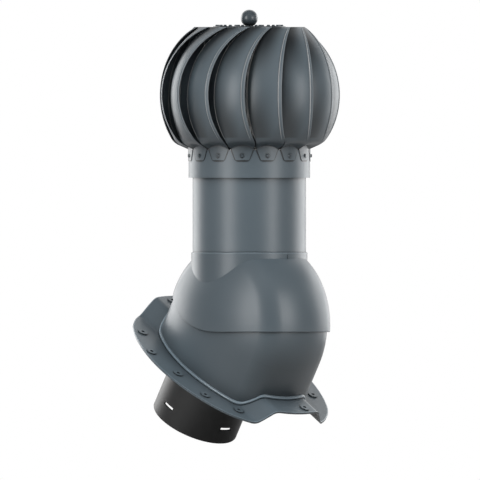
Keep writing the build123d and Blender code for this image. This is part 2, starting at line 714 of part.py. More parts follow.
def make_rotor_ring():
    """Ring that carries the blades and turns round the top of the stack tube."""
    ring = tube(RING_RADIUS, RING_RADIUS - RING_WALL, RING_BOTTOM, RING_TOP)
    hole = Pos(RING_RADIUS, 0, RING_RIVET_HEIGHT) * Rot(0, 90, 0) * Cylinder(
        RIVET_RADIUS + RIVET_FIT, 4 * RING_WALL
    )
    for i in range(BLADE_COUNT):
        ring -= Rot(0, 0, BLADE_FIRST_ANGLE + i * PITCH_ANGLE + tab_azimuth()) * hole
    return at_pivot(ring)


def make_crown_plate():
    """Round plate on top that clamps the blades' flanges, with the stud's hole."""
    bottom = BLADE_TOP + BLADE_THICKNESS / 2
    plate = upright(CROWN_RADIUS, bottom, bottom + CROWN_THICKNESS)
    plate -= upright(FINIAL_STUD_RADIUS + RIVET_FIT, ROTOR_MIDDLE, 2 * BLADE_TOP)
    hole = Pos(CROWN_RIVET_CIRCLE, 0, 0) * upright(RIVET_RADIUS + RIVET_FIT, ROTOR_MIDDLE, 2 * BLADE_TOP)
    for i in range(BLADE_COUNT):
        plate -= Rot(0, 0, BLADE_FIRST_ANGLE + i * PITCH_ANGLE + crown_rivet_azimuth()) * hole
    for i in range(HOUSING_RIVET_COUNT):
        plate -= housing_rivet_place(i) * upright(RIVET_RADIUS + RIVET_FIT, ROTOR_MIDDLE, 2 * BLADE_TOP)
    return at_pivot(plate)


def make_finial():
    """Ball nut with a short neck and a stud down into the bearing housing."""
    seat = BLADE_TOP + BLADE_THICKNESS / 2 + CROWN_THICKNESS
    centre = seat + FINIAL_NECK_HEIGHT + sqrt(FINIAL_RADIUS**2 - FINIAL_NECK_RADIUS**2)
    body = Pos(0, 0, centre) * Sphere(FINIAL_RADIUS)
    body += upright(FINIAL_NECK_RADIUS, seat, centre)
    body += upright(FINIAL_STUD_RADIUS, seat - FINIAL_STUD_LENGTH, centre)
    return at_pivot(body)


def arm_azimuth(index):
    """Azimuth of the index-th arm of the bracket, in degrees."""
    return index * 360 / ARM_COUNT


def spider_arm_azimuth(index):
    """Azimuth of the index-th arm of the spider, behind a ring rivet, in degrees."""
    return BLADE_FIRST_ANGLE + tab_azimuth() + arm_azimuth(index)


def spoked_hub(outer, strap, thickness, foot, hub, bore, height):
    """Flat hub with straight arms whose feet are bent down against a round wall."""
    body = upright(hub, height, height + thickness)
    wall = tube(outer, outer - thickness, height - foot, height + thickness)
    for i in range(ARM_COUNT):
        turn = Rot(0, 0, arm_azimuth(i))
        arm = Pos(outer / 2, 0, height + thickness / 2) * Box(outer, strap, thickness)
        body += turn * (arm & upright(outer, height, height + thickness))
        foot_box = Pos(outer, 0, height - foot / 2) * Box(outer, strap, 2 * foot)
        body += turn * (wall & foot_box)
    return body - upright(bore, height - thickness, height + 2 * thickness)


def arm_rivet_hole(outer, height):
    """Hole through a bent foot for its rivet."""
    return Pos(outer, 0, height) * Rot(0, 90, 0) * Cylinder(RIVET_RADIUS + RIVET_FIT, outer / 4)


def bracket_rivet_height():
    """Height of the rivets that hold the bracket in the stack tube."""
    return BRACKET_HEIGHT - BRACKET_FOOT / 2


def make_axle_bracket():
    """Three-armed strap bracket fixed across the stack tube."""
    outer = STACK_RADIUS - STACK_WALL
    body = spoked_hub(
        outer,
        BRACKET_STRAP,
        BRACKET_THICKNESS,
        BRACKET_FOOT,
        BRACKET_HUB_RADIUS,
        AXLE_RADIUS + RIVET_FIT,
        BRACKET_HEIGHT,
    )
    for i in range(ARM_COUNT):
        body -= Rot(0, 0, arm_azimuth(i)) * arm_rivet_hole(outer, bracket_rivet_height())
    return at_pivot(body)


def make_bracket_rivets():
    """Rivets through the stack tube and the bracket's feet."""
    one = Pos(STACK_RADIUS, 0, bracket_rivet_height()) * rivet(STACK_WALL + BRACKET_THICKNESS + RIVET_FIT)
    return Compound([at_pivot(Rot(0, 0, arm_azimuth(i)) * one) for i in range(ARM_COUNT)])


def make_lower_spider():
    """Three-armed spider inside the ring that steadies the rotor on the axle."""
    outer = RING_RADIUS - RING_WALL
    body = spoked_hub(
        outer,
        SPIDER_STRAP,
        SPIDER_THICKNESS,
        SPIDER_FOOT,
        SPIDER_HUB_RADIUS,
        BUSH_RADIUS + RIVET_FIT,
        SPIDER_HEIGHT,
    )
    for i in range(ARM_COUNT):
        body -= Rot(0, 0, arm_azimuth(i)) * arm_rivet_hole(outer, RING_RIVET_HEIGHT)
    return at_pivot(Rot(0, 0, spider_arm_azimuth(0)) * body)


def bearing_bottom():
    """Height of the bearing's lower face."""
    return BEARING_TOP - BEARING_HEIGHT


def ball_circle():
    """Radius of the circle that the balls run on."""
    return (BEARING_INNER_RADIUS + BEARING_OUTER_BORE) / 2


def ball_groove():
    """Ring-shaped groove that both races share, with room round the balls."""
    groove = Torus(ball_circle(), BEARING_BALL_RADIUS + BEARING_BALL_GAP)
    return Pos(0, 0, BEARING_TOP - BEARING_HEIGHT / 2) * groove


def make_bearing_outer_race():
    """Outer race held in the housing."""
    race = tube(BEARING_RADIUS, BEARING_OUTER_BORE, bearing_bottom(), BEARING_TOP)
    return at_pivot(race - ball_groove())


def make_bearing_inner_race():
    """Inner race clamped on the axle."""
    race = tube(BEARING_INNER_RADIUS, AXLE_RADIUS + AXLE_FIT, bearing_bottom(), BEARING_TOP)
    return at_pivot(race - ball_groove())


def make_bearing_balls():
    """Balls of the upper bearing."""
    height = BEARING_TOP - BEARING_HEIGHT / 2
    ball = Pos(ball_circle(), 0, height) * Sphere(BEARING_BALL_RADIUS)
    turn = 360 / BEARING_BALL_COUNT
    return Compound([at_pivot(Rot(0, 0, i * turn) * ball) for i in range(BEARING_BALL_COUNT)])


def make_bearing_housing():
    """Cup under the crown plate that holds the bearing and the finial's stud."""
    top = BLADE_TOP + BLADE_THICKNESS / 2
    bottom = bearing_bottom() - CIRCLIP_THICKNESS - CIRCLIP_SKIRT
    cup_radius = BEARING_RADIUS + HOUSING_WALL
    body = upright(HOUSING_FLANGE_RADIUS, top - HOUSING_FLANGE_THICKNESS, top)
    body += upright(cup_radius, bottom, top)
    stud_end = top + CROWN_THICKNESS - FINIAL_STUD_LENGTH
    room = upright(BEARING_RADIUS - HOUSING_SHOULDER, bottom - 1, top - HOUSING_FLANGE_THICKNESS)
    room -= upright(HOUSING_BOSS_RADIUS, stud_end, top)
    body -= room
    body -= upright(BEARING_RADIUS + AXLE_FIT, bottom - 1, BEARING_TOP)
    body -= upright(FINIAL_STUD_RADIUS + RIVET_FIT, stud_end - 1, top + 1)
    for i in range(HOUSING_RIVET_COUNT):
        body -= housing_rivet_place(i) * upright(RIVET_RADIUS + RIVET_FIT, ROTOR_MIDDLE, 2 * BLADE_TOP)
    return at_pivot(body)


def housing_rivet_place(index):
    """Place of a vertical rivet through the crown plate and the housing's flange."""
    return Rot(0, 0, index * 360 / HOUSING_RIVET_COUNT) * Pos(HOUSING_RIVET_CIRCLE, 0, 0)


def make_housing_rivets():
    """Rivets that hold the bearing housing under the crown plate."""
    top = BLADE_TOP + BLADE_THICKNESS / 2 + CROWN_THICKNESS
    one = Pos(0, 0, top) * Rot(0, -90, 0) * rivet(CROWN_THICKNESS + HOUSING_FLANGE_THICKNESS)
    return Compound([at_pivot(housing_rivet_place(i) * one) for i in range(HOUSING_RIVET_COUNT)])


def make_bearing_circlip():
    """Split ring under the outer race."""
    top = bearing_bottom()
    ring = tube(BEARING_RADIUS, BEARING_RADIUS - HOUSING_SHOULDER, top - CIRCLIP_THICKNESS, top)
    gap = Pos(BEARING_RADIUS, 0, top) * Box(BEARING_RADIUS, HOUSING_SHOULDER * 2, 4 * CIRCLIP_THICKNESS)
    return at_pivot(ring - gap)


def make_axle():
    """Fixed round axle with chamfered ends."""
    rod = upright(AXLE_RADIUS, AXLE_BOTTOM, AXLE_TOP)
    return at_pivot(chamfer(rod.edges().filter_by(GeomType.CIRCLE), AXLE_RADIUS / 5))


def hex_nut(bottom):
    """Hexagon nut on the axle."""
    outline = RegularPolygon(NUT_ACROSS_FLATS / 2, 6, major_radius=False)
    nut = Pos(0, 0, bottom) * extrude(outline, NUT_HEIGHT)
    return nut - upright(AXLE_RADIUS + AXLE_FIT, bottom - 1, bottom + 2 * NUT_HEIGHT)


def nut_bottoms():
    """Heights of the two nuts that clamp the axle to the bracket."""
    above = BRACKET_HEIGHT + BRACKET_THICKNESS + WASHER_THICKNESS
    below = BRACKET_HEIGHT - WASHER_THICKNESS - NUT_HEIGHT
    return below, above


def make_axle_nuts():
    """Two nuts that clamp the axle to the bracket."""
    return Compound([at_pivot(hex_nut(bottom)) for bottom in nut_bottoms()])


def make_axle_washers():
    """Washers between the nuts and the bracket's hub."""
    inner = AXLE_RADIUS + RIVET_FIT
    starts = (BRACKET_HEIGHT - WASHER_THICKNESS, BRACKET_HEIGHT + BRACKET_THICKNESS)
    rings = [tube(WASHER_RADIUS, inner, start, start + WASHER_THICKNESS) for start in starts]
    return Compound([at_pivot(ring) for ring in rings])


def make_bearing_nut():
    """Lock nut over the inner race."""
    return at_pivot(hex_nut(BEARING_TOP))


def make_axle_collar():
    """Collar on the axle that carries the inner race."""
    top = bearing_bottom()
    return at_pivot(tube(COLLAR_RING_RADIUS, AXLE_RADIUS + AXLE_FIT, top - COLLAR_RING_HEIGHT, top))


def make_lower_bush():
    """Flanged plastic bush in the spider's hub, running on the axle."""
    start = SPIDER_HEIGHT - BUSH_FLANGE_HEIGHT
    body = upright(BUSH_RADIUS, start, start + BUSH_LENGTH)
    body += upright(BUSH_FLANGE_RADIUS, start, SPIDER_HEIGHT)
    return at_pivot(body - upright(AXLE_RADIUS + RUNNING_FIT, start - 1, start + 2 * BUSH_LENGTH))


def make_parts():
    """Every piece of the cowl by its name."""
    parts = {
        "roof_base": make_roof_base(),
        "base_plate": make_base_plate(),
        "plate_screws": make_plate_screws(),
        "duct_spigot": make_duct_spigot(),
        "spigot_seal": make_spigot_seal(),
        "hood": make_hood(),
        "pivot_washers": make_pivot_washers(),
        "pivot_screws": make_pivot_screws(),
        "stack_tube": make_stack_tube(),
        "tube_seal": make_tube_seal(),
        "axle_bracket": make_axle_bracket(),
        "bracket_rivets": make_bracket_rivets(),
        "axle": make_axle(),
        "axle_nuts": make_axle_nuts(),
        "axle_washers": make_axle_washers(),
        "axle_collar": make_axle_collar(),
        "bearing_inner_race": make_bearing_inner_race(),
        "bearing_nut": make_bearing_nut(),
        "bearing_balls": make_bearing_balls(),
        "bearing_outer_race": make_bearing_outer_race(),
        "bearing_housing": make_bearing_housing(),
        "bearing_circlip": make_bearing_circlip(),
        "housing_rivets": make_housing_rivets(),
        "crown_plate": make_crown_plate(),
        "crown_rivets": make_crown_rivets(),
        "finial": make_finial(),
        "rotor_ring": make_rotor_ring(),
        "ring_rivets": make_ring_rivets(),
        "lower_spider": make_lower_spider(),
        "lower_bush": make_lower_bush(),
    }
    blade = make_blade()
    for i in range(BLADE_COUNT):
        parts[f"blade_{i + 1:02d}"] = rotor_place(i) * blade
    return parts


def main():
    """Write one STEP file for each piece."""
    os.makedirs("parts", exist_ok=True)
    for name, shape in make_parts().items():
        export_step(shape, f"parts/{name}.step")


if __name__ == "__main__":
    main()
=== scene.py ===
"""Looks of the rotating chimney cowl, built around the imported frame.

Every length is in metres, in the frame's own axes: +Z up, +X down the roof slope. Modelled pieces are worked
out about the hood's pivot, and add_piece moves them to their place in the frame.
"""

import json
import logging
import math
from dataclasses import dataclass, field
from enum import Enum

import bmesh
import bpy
import numpy as np
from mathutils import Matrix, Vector


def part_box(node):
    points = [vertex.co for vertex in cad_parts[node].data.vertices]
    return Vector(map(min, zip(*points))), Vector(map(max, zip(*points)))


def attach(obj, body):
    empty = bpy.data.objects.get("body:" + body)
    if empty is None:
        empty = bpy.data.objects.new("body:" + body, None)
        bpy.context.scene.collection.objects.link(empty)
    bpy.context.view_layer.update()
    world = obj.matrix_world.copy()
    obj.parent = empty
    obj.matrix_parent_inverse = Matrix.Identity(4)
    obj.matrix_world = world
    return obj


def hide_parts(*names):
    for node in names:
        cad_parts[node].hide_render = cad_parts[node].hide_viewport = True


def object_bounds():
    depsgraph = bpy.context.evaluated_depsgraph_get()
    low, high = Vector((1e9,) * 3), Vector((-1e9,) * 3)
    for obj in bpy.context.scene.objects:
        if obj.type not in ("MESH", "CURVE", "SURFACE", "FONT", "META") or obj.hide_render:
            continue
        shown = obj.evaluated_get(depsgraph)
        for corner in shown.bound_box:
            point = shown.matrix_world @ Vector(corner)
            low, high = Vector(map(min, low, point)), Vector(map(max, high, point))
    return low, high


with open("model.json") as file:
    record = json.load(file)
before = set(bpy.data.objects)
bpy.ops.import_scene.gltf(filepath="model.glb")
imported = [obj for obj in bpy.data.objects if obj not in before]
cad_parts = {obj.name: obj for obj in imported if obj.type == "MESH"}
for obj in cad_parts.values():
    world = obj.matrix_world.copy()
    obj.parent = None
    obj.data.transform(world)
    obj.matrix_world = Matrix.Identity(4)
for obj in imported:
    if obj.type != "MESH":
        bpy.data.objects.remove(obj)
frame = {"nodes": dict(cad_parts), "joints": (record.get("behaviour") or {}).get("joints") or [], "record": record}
CAD_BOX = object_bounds()
PIVOT = np.array(frame["joints"][0]["pos_m"], float)
RIVET_LOW, RIVET_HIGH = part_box("ring_rivets")
RIVET_HEIGHT = (RIVET_LOW[2] + RIVET_HIGH[2]) / 2 - PIVOT[2]

log = logging.getLogger("cowl")

MM = 0.001
ROOF_PITCH = math.radians(32.0)
PIVOT_RISE = 76.6 * MM
WHITE = (1.0, 1.0, 1.0)
Socket = bpy.types.NodeSocket
Triple = tuple[float, float, float]
Colour = Triple
Pair = tuple[float, float]
Arrays = tuple[np.ndarray, np.ndarray]


class Body(Enum):
    """The three bodies that pieces ride on."""

    BASE = "base"
    HOOD = "hood"
    ROTOR = "rotor"


class NodeTree:
    """Small helper that adds shader nodes and feeds their inputs."""

    def __init__(self, tree: bpy.types.NodeTree, output: str) -> None:
        """Empties a tree and adds its output.

        Args:
            tree: the Blender tree.
            output: the output node's Blender type name.
        """
        self.tree = tree
        self.tree.nodes.clear()
        self.output = self.add(output)

    def put(self, socket: Socket, value: object) -> None:
        """Links an output socket to an input, or sets the input to a plain value.

        Args:
            socket: the input.
            value: an output socket or a plain value.
        """
        if isinstance(value, Socket):
            self.tree.links.new(value, socket)
        else:
            socket.default_value = value

    def feed(self, node: bpy.types.Node, *ordered: object, **named: object) -> None:
        """Feeds a node's inputs and sets its options.

        Args:
            node: the node.
            ordered: output socket or plain value of each input, in the inputs' order.
            named: the same by the inputs' names, with spaces as underscores, and options in small letters.
        """
        for name, value in named.items():
            if name.islower():
                setattr(node, name, value)
            else:
                self.put(node.inputs[name.replace("_", " ")], value)
        for socket, value in zip(node.inputs, ordered):
            self.put(socket, value)

    def add(self, kind: str, *ordered: object, **named: object) -> bpy.types.Node:
        """Adds a node and feeds it.

        Args:
            kind: the node's Blender type name.
            ordered: as for feed.
            named: as for feed.

        Returns:
            The new node.
        """
        node = self.tree.nodes.new(kind)
        self.feed(node, *ordered, **named)
        return node

    def ramp(self, source: Socket, low: Colour, high: Colour, span: Pair = (0.3, 0.7)) -> Socket:
        """Colour ramp between two colours.

        Args:
            source: the driving output.
            low: colour at the start.
            high: colour at the end.
            span: values at which the ramp starts and ends.

        Returns:
            The ramp's colour.
        """
        ramp = self.add("ShaderNodeValToRGB", source)
        for element, place, colour in zip(ramp.color_ramp.elements, span, (low, high)):
            element.position = place
            element.color = (*colour, 1)
        return ramp.outputs["Color"]

    def span(self, source: Socket, taken: Pair, given: Pair, easing: str = "LINEAR") -> Socket:
        """Maps a value from the range that is taken to the one that is given."""
        node = self.add("ShaderNodeMapRange", source, *taken, *given, interpolation_type=easing)
        return node.outputs["Result"]

    def reckon(self, operation: str, first: Socket, second: Socket | float) -> Socket:
        """Product, maximum or the like of two values."""
        return self.add("ShaderNodeMath", first, second, operation=operation).outputs["Value"]

    def mix_shaders(self, share: Socket, below: Socket, above: Socket) -> Socket:
        """Mixes two shaders, by the share of the one above."""
        return self.add("ShaderNodeMixShader", share, below, above).outputs["Shader"]


class MaterialTree(NodeTree):
    """A new material, with the nodes round its main shader."""

    def __init__(self, name: str) -> None:
        """Makes the material, with its output and main shader.

        Args:
            name: the material's name.
        """
        self.material = bpy.data.materials.new(name)
        self.material.use_nodes = True
        super().__init__(self.material.node_tree, "ShaderNodeOutputMaterial")
        self.shader = self.add("ShaderNodeBsdfPrincipled")
        self.feed(self.output, Surface=self.shader.outputs["BSDF"])

    def object_noise(self, scale: float, detail: float, stretch: Triple = (1, 1, 1)) -> Socket:
        """Noise on object coordinates, stretched along the axes.

        Args:
            scale: noise cells per metre.
            detail: octaves of the noise.
            stretch: scale of the pattern along X, Y and Z.

        Returns:
            The noise.
        """
        coords = self.add("ShaderNodeTexCoord").outputs["Object"]
        place = self.add("ShaderNodeMapping", Vector=coords, Scale=stretch).outputs["Vector"]
        noise = self.add("ShaderNodeTexNoise", Vector=place, Scale=scale, Detail=detail, Roughness=0.55)
        return noise.outputs["Fac"]

    def tinted(self, noise: Socket, colour: Colour, darker: float, lighter: float) -> Socket:
        """A colour that noise varies between a darker and a lighter factor."""
        return self.ramp(noise, shade(colour, darker), shade(colour, lighter))

    def vary_roughness(self, noise: Socket, roughness: float, spread: Pair) -> None:
        """Lets noise vary the main shader's roughness by the spread below and above it."""
        low, high = roughness + spread[0], roughness + spread[1]
        self.feed(self.shader, Roughness=self.span(noise, (0.0, 1.0), (low, high)))

    def bump(self, height: Socket, strength: float, distance: float, under: Socket | None = None) -> Socket:
        """Bump on the main shader, laid over another bump if one is given.

        Args:
            height: the pattern.
            strength: share of the bump.
            distance: height of the pattern.
            under: normal of the bump that this one lies on.

        Returns:
            The bumped normal.
        """
        bump = self.add("ShaderNodeBump", Height=height, Strength=strength, Distance=distance)
        if under is not None:
            self.feed(bump, Normal=under)
        self.feed(self.shader, Normal=bump.outputs["Normal"])
        return bump.outputs["Normal"]

    def blend(self, kind: str, colour: Socket, over: Socket | tuple, factor: Socket | float) -> Socket:
        """Lays one colour over another.

        Args:
            kind: the blend type's Blender name.
            colour: the colour below.
            over: output or plain colour of the one above.
            factor: its share.

        Returns:
            The blended colour.
        """
        mix = self.add("ShaderNodeMix", data_type="RGBA", blend_type=kind)
        below, above = mix.inputs[6], mix.inputs[7]
        for socket, value in ((below, colour), (above, over), (mix.inputs["Factor"], factor)):
            self.put(socket, value)
        return mix.outputs[2]


def linear(red: int, green: int, blue: int) -> Colour:
    """Linear colour of an 8-bit display colour.

    Args:
        red: the display colour's red, and so on.
        green: its green.
        blue: its blue.

    Returns:
        Three shares: a straight line near black, and a power of 2.4 above it.
    """
    shares = np.array([red, green, blue]) / 255
    low = shares / 12.92
    high = ((shares + 0.055) / 1.055) ** 2.4
    return tuple(float(v) for v in np.where(shares <= 0.04045, low, high))


def shade(colour: Colour, factor: float) -> Colour:
    """A colour made lighter or darker by a factor."""
    return tuple(min(1.0, channel * factor) for channel in colour)


@dataclass(frozen=True)
class SatinCoat:
    """Slate-grey satin coat with a fine grain, soft tone changes, and painted shade in recesses and creases.

    A recess is the distance within which other surfaces darken it with painted shade, its tone is the darkest
    factor there, and its span is the range of openness over which the tone fades. A crease is the same at a
    finer scale.
    """

    name: str
    colour: Colour
    roughness: float
    grain_scale: float
    grain_height: float
    tone: float = 0.05
    coat: float = 0.1
    coat_roughness: float = 0.3
    # painted shade: occlusion shadow within the recess, and at a finer scale within the crease
    recess: float = 14 * MM
    recess_tone: float = 0.25
    recess_span: Pair = (0.25, 0.85)
    crease: float = 2.5 * MM
    crease_tone: float = 0.35
    crease_span: Pair = (0.3, 0.9)
    # painted highlight lines, lighter than the coat, and painted shadow lines, a darker copy of it
    highlight_tone: float = 0.0
    shadow_tone: float = 0.12
    # painted shade on faces that look down
    underside_shade_tone: float = 1.0
    under_span: Pair = (-0.8, 0.05)
    tone_scale: float = 9.0
    gloss_scale: float = 60.0
    gloss_span: Pair = (-0.03, 0.04)
    grain_strength: float = 0.25
    swell_scale: float = 45.0
    swell_strength: float = 0.05
    swell_height: float = 0.4 * MM

    def paint_occlusion_shade(self, net: MaterialTree, colour: Socket, reach: float, tone: float, span: Pair) -> Socket:
        """Painted shade: multiplies a colour by a tone where other surfaces come nearer than a distance.

        Args:
            net: the material's nodes.
            colour: the colour.
            reach: how far the surface looks for others.
            tone: the darkest factor.
            span: openness at which the factor starts to rise, and at which it is one.

        Returns:
            The colour with painted shade.
        """
        near = net.add("ShaderNodeAmbientOcclusion", Distance=reach, samples=8)
        return net.blend("MULTIPLY", colour, net.ramp(near.outputs["AO"], (tone,) * 3, WHITE, span), 1.0)

    def paint_underside_shade(self, net: MaterialTree, colour: Socket) -> Socket:
        """Paints shade on faces that look down: darkens a colour where the surface faces down.

        Args:
            net: the material's nodes.
            colour: the colour.

        Returns:
            The colour with painted shade.
        """
        slope = net.add("ShaderNodeSeparateXYZ", Vector=net.add("ShaderNodeTexCoord").outputs["Normal"])
        share = net.span(slope.outputs["Z"], self.under_span, (0.0, 1.0))
        return net.blend("MULTIPLY", colour, net.ramp(share, (self.underside_shade_tone,) * 3, WHITE, (0.0, 1.0)), 1.0)

    def paint_light_lines(self, net: MaterialTree, colour: Socket) -> Socket:
        """Paints highlights along the highlight lines and shadows along the shadow lines that the mesh marks.

        Args:
            net: the material's nodes.
            colour: the colour.

        Returns:
            The colour with painted highlight and shadow lines.
        """
        # painted highlight: a grey lighter than the coat; painted shadow: a darker copy of the coat
        grey = sum(self.colour) / 3 * self.highlight_tone
        for name, over in (("highlight_line", (grey,) * 3), ("shadow_line", shade(self.colour, self.shadow_tone))):
            mark = net.add("ShaderNodeAttribute", attribute_name=name)
            colour = net.blend("MIX", colour, (*over, 1), mark.outputs["Fac"])
        return colour

    def make(self) -> bpy.types.Material:
        """Builds the material: tone noise, painted shade in recesses and creases, roughness noise and two bumps of
        grain.

        Returns:
            The material.
        """
        net = MaterialTree(self.name)
        tone = net.object_noise(self.tone_scale, 3.0)
        shaded = net.tinted(tone, self.colour, 1 - self.tone, 1 + self.tone)
        # painted shade in recesses and creases
        shaded = self.paint_occlusion_shade(net, shaded, self.recess, self.recess_tone, self.recess_span)
        shaded = self.paint_occlusion_shade(net, shaded, self.crease, self.crease_tone, self.crease_span)
        # painted shade on faces that look down
        if self.underside_shade_tone < 1:
            shaded = self.paint_underside_shade(net, shaded)
        # painted highlight and shadow lines
        if self.highlight_tone:
            shaded = self.paint_light_lines(net, shaded)
        net.feed(net.shader, Base_Color=shaded, Coat_Weight=self.coat, Coat_Roughness=self.coat_roughness)
        net.vary_roughness(net.object_noise(self.gloss_scale, 4.0), self.roughness, self.gloss_span)
        soft = net.bump(net.object_noise(self.swell_scale, 2.0), self.swell_strength, self.swell_height)
        net.bump(net.object_noise(self.grain_scale, 2.0), self.grain_strength, self.grain_height, under=soft)
        return net.material


@dataclass(frozen=True)
class BareMetal:
    """Zinc-plated or ground steel with fine scratches."""

    name: str
    colour: Colour
    roughness: float
    scratch: float
    tone_scale: float = 70.0
    tone_span: Pair = (0.85, 1.1)
    scratch_scale: float = 700.0
    scratch_stretch: Triple = (1, 1, 0.06)
    scratch_height: float = 0.05 * MM
    gloss_span: Pair = (-0.08, 0.1)

    def make(self) -> bpy.types.Material:
        """Builds the material: metallic, with stretched noise for scratches.

        Returns:
            The material.
        """
        net = MaterialTree(self.name)
        tone = net.object_noise(self.tone_scale, 4.0)
        net.feed(net.shader, Metallic=1.0, Base_Color=net.tinted(tone, self.colour, *self.tone_span))
        lines = net.object_noise(self.scratch_scale, 3.0, self.scratch_stretch)
        net.vary_roughness(lines, self.roughness, self.gloss_span)
        net.bump(lines, self.scratch, self.scratch_height)
        return net.material


@dataclass(frozen=True)
class Moulded:
    """Moulded black plastic, rubber or white bush plastic with a fine spark-eroded grain."""

    name: str
    colour: Colour
    roughness: float
    grain_scale: float
    grain_height: float
    grain_strength: float = 0.3
    tone_scale: float = 25.0
    tone_span: Pair = (0.85, 1.15)
    gloss_span: Pair = (-0.04, 0.05)

    def make(self) -> bpy.types.Material:
        """Builds the material: grain bump with slight tone and gloss changes.

        Returns:
            The material.
        """
        net = MaterialTree(self.name)
        tone = net.object_noise(self.tone_scale, 3.0)
        net.feed(net.shader, Base_Color=net.tinted(tone, self.colour, *self.tone_span))
        net.bump(net.object_noise(self.grain_scale, 2.0), self.grain_strength, self.grain_height)
        net.vary_roughness(tone, self.roughness, self.gloss_span)
        return net.material


SLATE = linear(80, 91, 98)
FINISHES = {
    # base: painted shade in recesses and on faces that look down
    "base_moulding": SatinCoat("slate_base_moulding", SLATE, 0.36, 1400.0, 0.05 * MM, coat=0.06,
                               recess=30 * MM, recess_tone=0.3, recess_span=(0.3, 0.95), underside_shade_tone=0.12),
    "hood_moulding": SatinCoat("slate_hood_moulding", shade(SLATE, 0.9), 0.39, 1400.0, 0.05 * MM, coat=0.12),
    # rounded edges: a copy of the slate 1.9 times lighter, as painted highlight, with some painted shade in
    # recesses
    "edge_highlight": SatinCoat("slate_rounded_edge", shade(SLATE, 1.9), 0.26, 1400.0, 0.03 * MM, coat=0.4,
                              recess_tone=0.75, crease_tone=0.9),
    # blades: painted shade in deep recesses, and painted highlight and shadow lines
    "blade_sheet": SatinCoat("slate_blade_coat", SLATE, 0.43, 2200.0, 0.03 * MM, recess=40 * MM,
                             recess_tone=0.08, recess_span=(0.42, 0.97), highlight_tone=3.4),
    # stack: painted shadow under the rotor's ring
    "stack_sheet": SatinCoat("slate_stack_coat", SLATE, 0.4, 2200.0, 0.03 * MM, recess=16 * MM,
                             recess_tone=0.12, recess_span=(0.3, 0.92)),
    "finial_coat": SatinCoat("slate_finial_coat", shade(SLATE, 0.5), 0.36, 2200.0, 0.03 * MM, coat=0.3),
    # rivets: a copy of the slate darker by half, as painted shade on the small domes
    "rivet_paint": SatinCoat("slate_rivet_shaded_coat", shade(SLATE, 0.55), 0.34, 2600.0, 0.02 * MM),
    "black_plastic": Moulded("black_duct_plastic", (0.008, 0.008, 0.0082), 0.5, 1500.0, 0.04 * MM),
    "rubber": Moulded("black_seal_rubber", (0.012, 0.012, 0.012), 0.65, 900.0, 0.06 * MM),
    "bush_plastic": Moulded("white_bush_plastic", (0.7, 0.7, 0.66), 0.4, 1200.0, 0.02 * MM),
    "steel": BareMetal("zinc_plated_steel", (0.52, 0.53, 0.53), 0.36, 0.2),
    "bearing_steel": BareMetal("ground_bearing_steel", (0.63, 0.63, 0.64), 0.18, 0.08),
}
OWN_FINISH = {"finial": "finial_coat"}


class Wardrobe:
    """Holds one material for each finish and dresses pieces with them."""

    def __init__(self) -> None:
        """Makes every finish once."""
        self.materials = {slot: finish.make() for slot, finish in FINISHES.items()}

    def dress(self, piece: bpy.types.Object, slot: str) -> None:
        """Gives a piece the material of a slot."""
        piece.data.materials.clear()
        piece.data.materials.append(self.materials[slot])

    def dress_frame(self) -> None:
        """Gives each CAD node its own finish, or that of its slot in the record."""
        for entry in frame["record"]["subparts"]:
            node = frame["nodes"][entry["node"]]
            for slot in node.material_slots:
                slot.link = "OBJECT"
                slot.material = self.materials[OWN_FINISH.get(entry["node"], entry["material_slot"])]
        log.info("dressed %d CAD nodes", len(frame["nodes"]))


def new_object(name: str, data: bpy.types.ID) -> bpy.types.Object:
    """Makes an object of a mesh, a camera or a light, and links it to the scene.

    Args:
        name: the object's name.
        data: what it shows.

    Returns:
        The new object.
    """
    thing = bpy.data.objects.new(name, data)
    bpy.context.scene.collection.objects.link(thing)
    return thing


def turn_outwards(mesh: bpy.types.Mesh) -> None:
    """Turns a closed mesh's faces round where they point inwards, which makes its signed volume negative.

    Args:
        mesh: the closed mesh.
    """
    shape = bmesh.new()
    shape.from_mesh(mesh)
    inside_out = shape.calc_volume(signed=True) < 0
    shape.free()
    if inside_out:
        mesh.flip_normals()


def add_piece(name: str, points: np.ndarray, faces: np.ndarray | list[list[int]], body: Body,
              smooth_angle: float = 60.0) -> bpy.types.Object:
    """Makes a mesh from arrays, in the frame's own axes, and lets it ride on a body.

    Args:
        name: the piece's name.
        points: positions about the pivot, one row each.
        faces: corner numbers, one face to a row.
        body: the body that it rides on.
        smooth_angle: degrees under which two faces are shaded as one.

    Returns:
        The new object.
    """
    mesh = bpy.data.meshes.new(name)
    corners = faces.tolist() if isinstance(faces, np.ndarray) else faces
    mesh.from_pydata((points + PIVOT).tolist(), [], corners)
    mesh.update()
    mesh.validate()
    turn_outwards(mesh)
    piece = new_object(name, mesh)
    mesh.shade_smooth()
    mesh.set_sharp_from_angle(angle=math.radians(smooth_angle))
    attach(piece, body.value)
    log.info("%s: %d faces on the %s", name, len(corners), body.value)
    return piece


def weld(points: np.ndarray, quads: np.ndarray,
         nearness: float = 0.001 * MM) -> tuple[np.ndarray, list[list[int]]]:
    """Joins points that lie on one place, so that a pole closes, and drops faces that have no area left.

    Args:
        points: positions, one row each.
        quads: corner numbers, four to a row.
        nearness: grid on which two points count as one.

    Returns:
        Points, and faces of three or four corners.
    """
    _, first, place = np.unique(np.round(points / nearness), axis=0, return_index=True, return_inverse=True)
    faces = [list(dict.fromkeys(face)) for face in place.ravel()[quads].tolist()]
    return points[first], [face for face in faces if len(face) > 2]


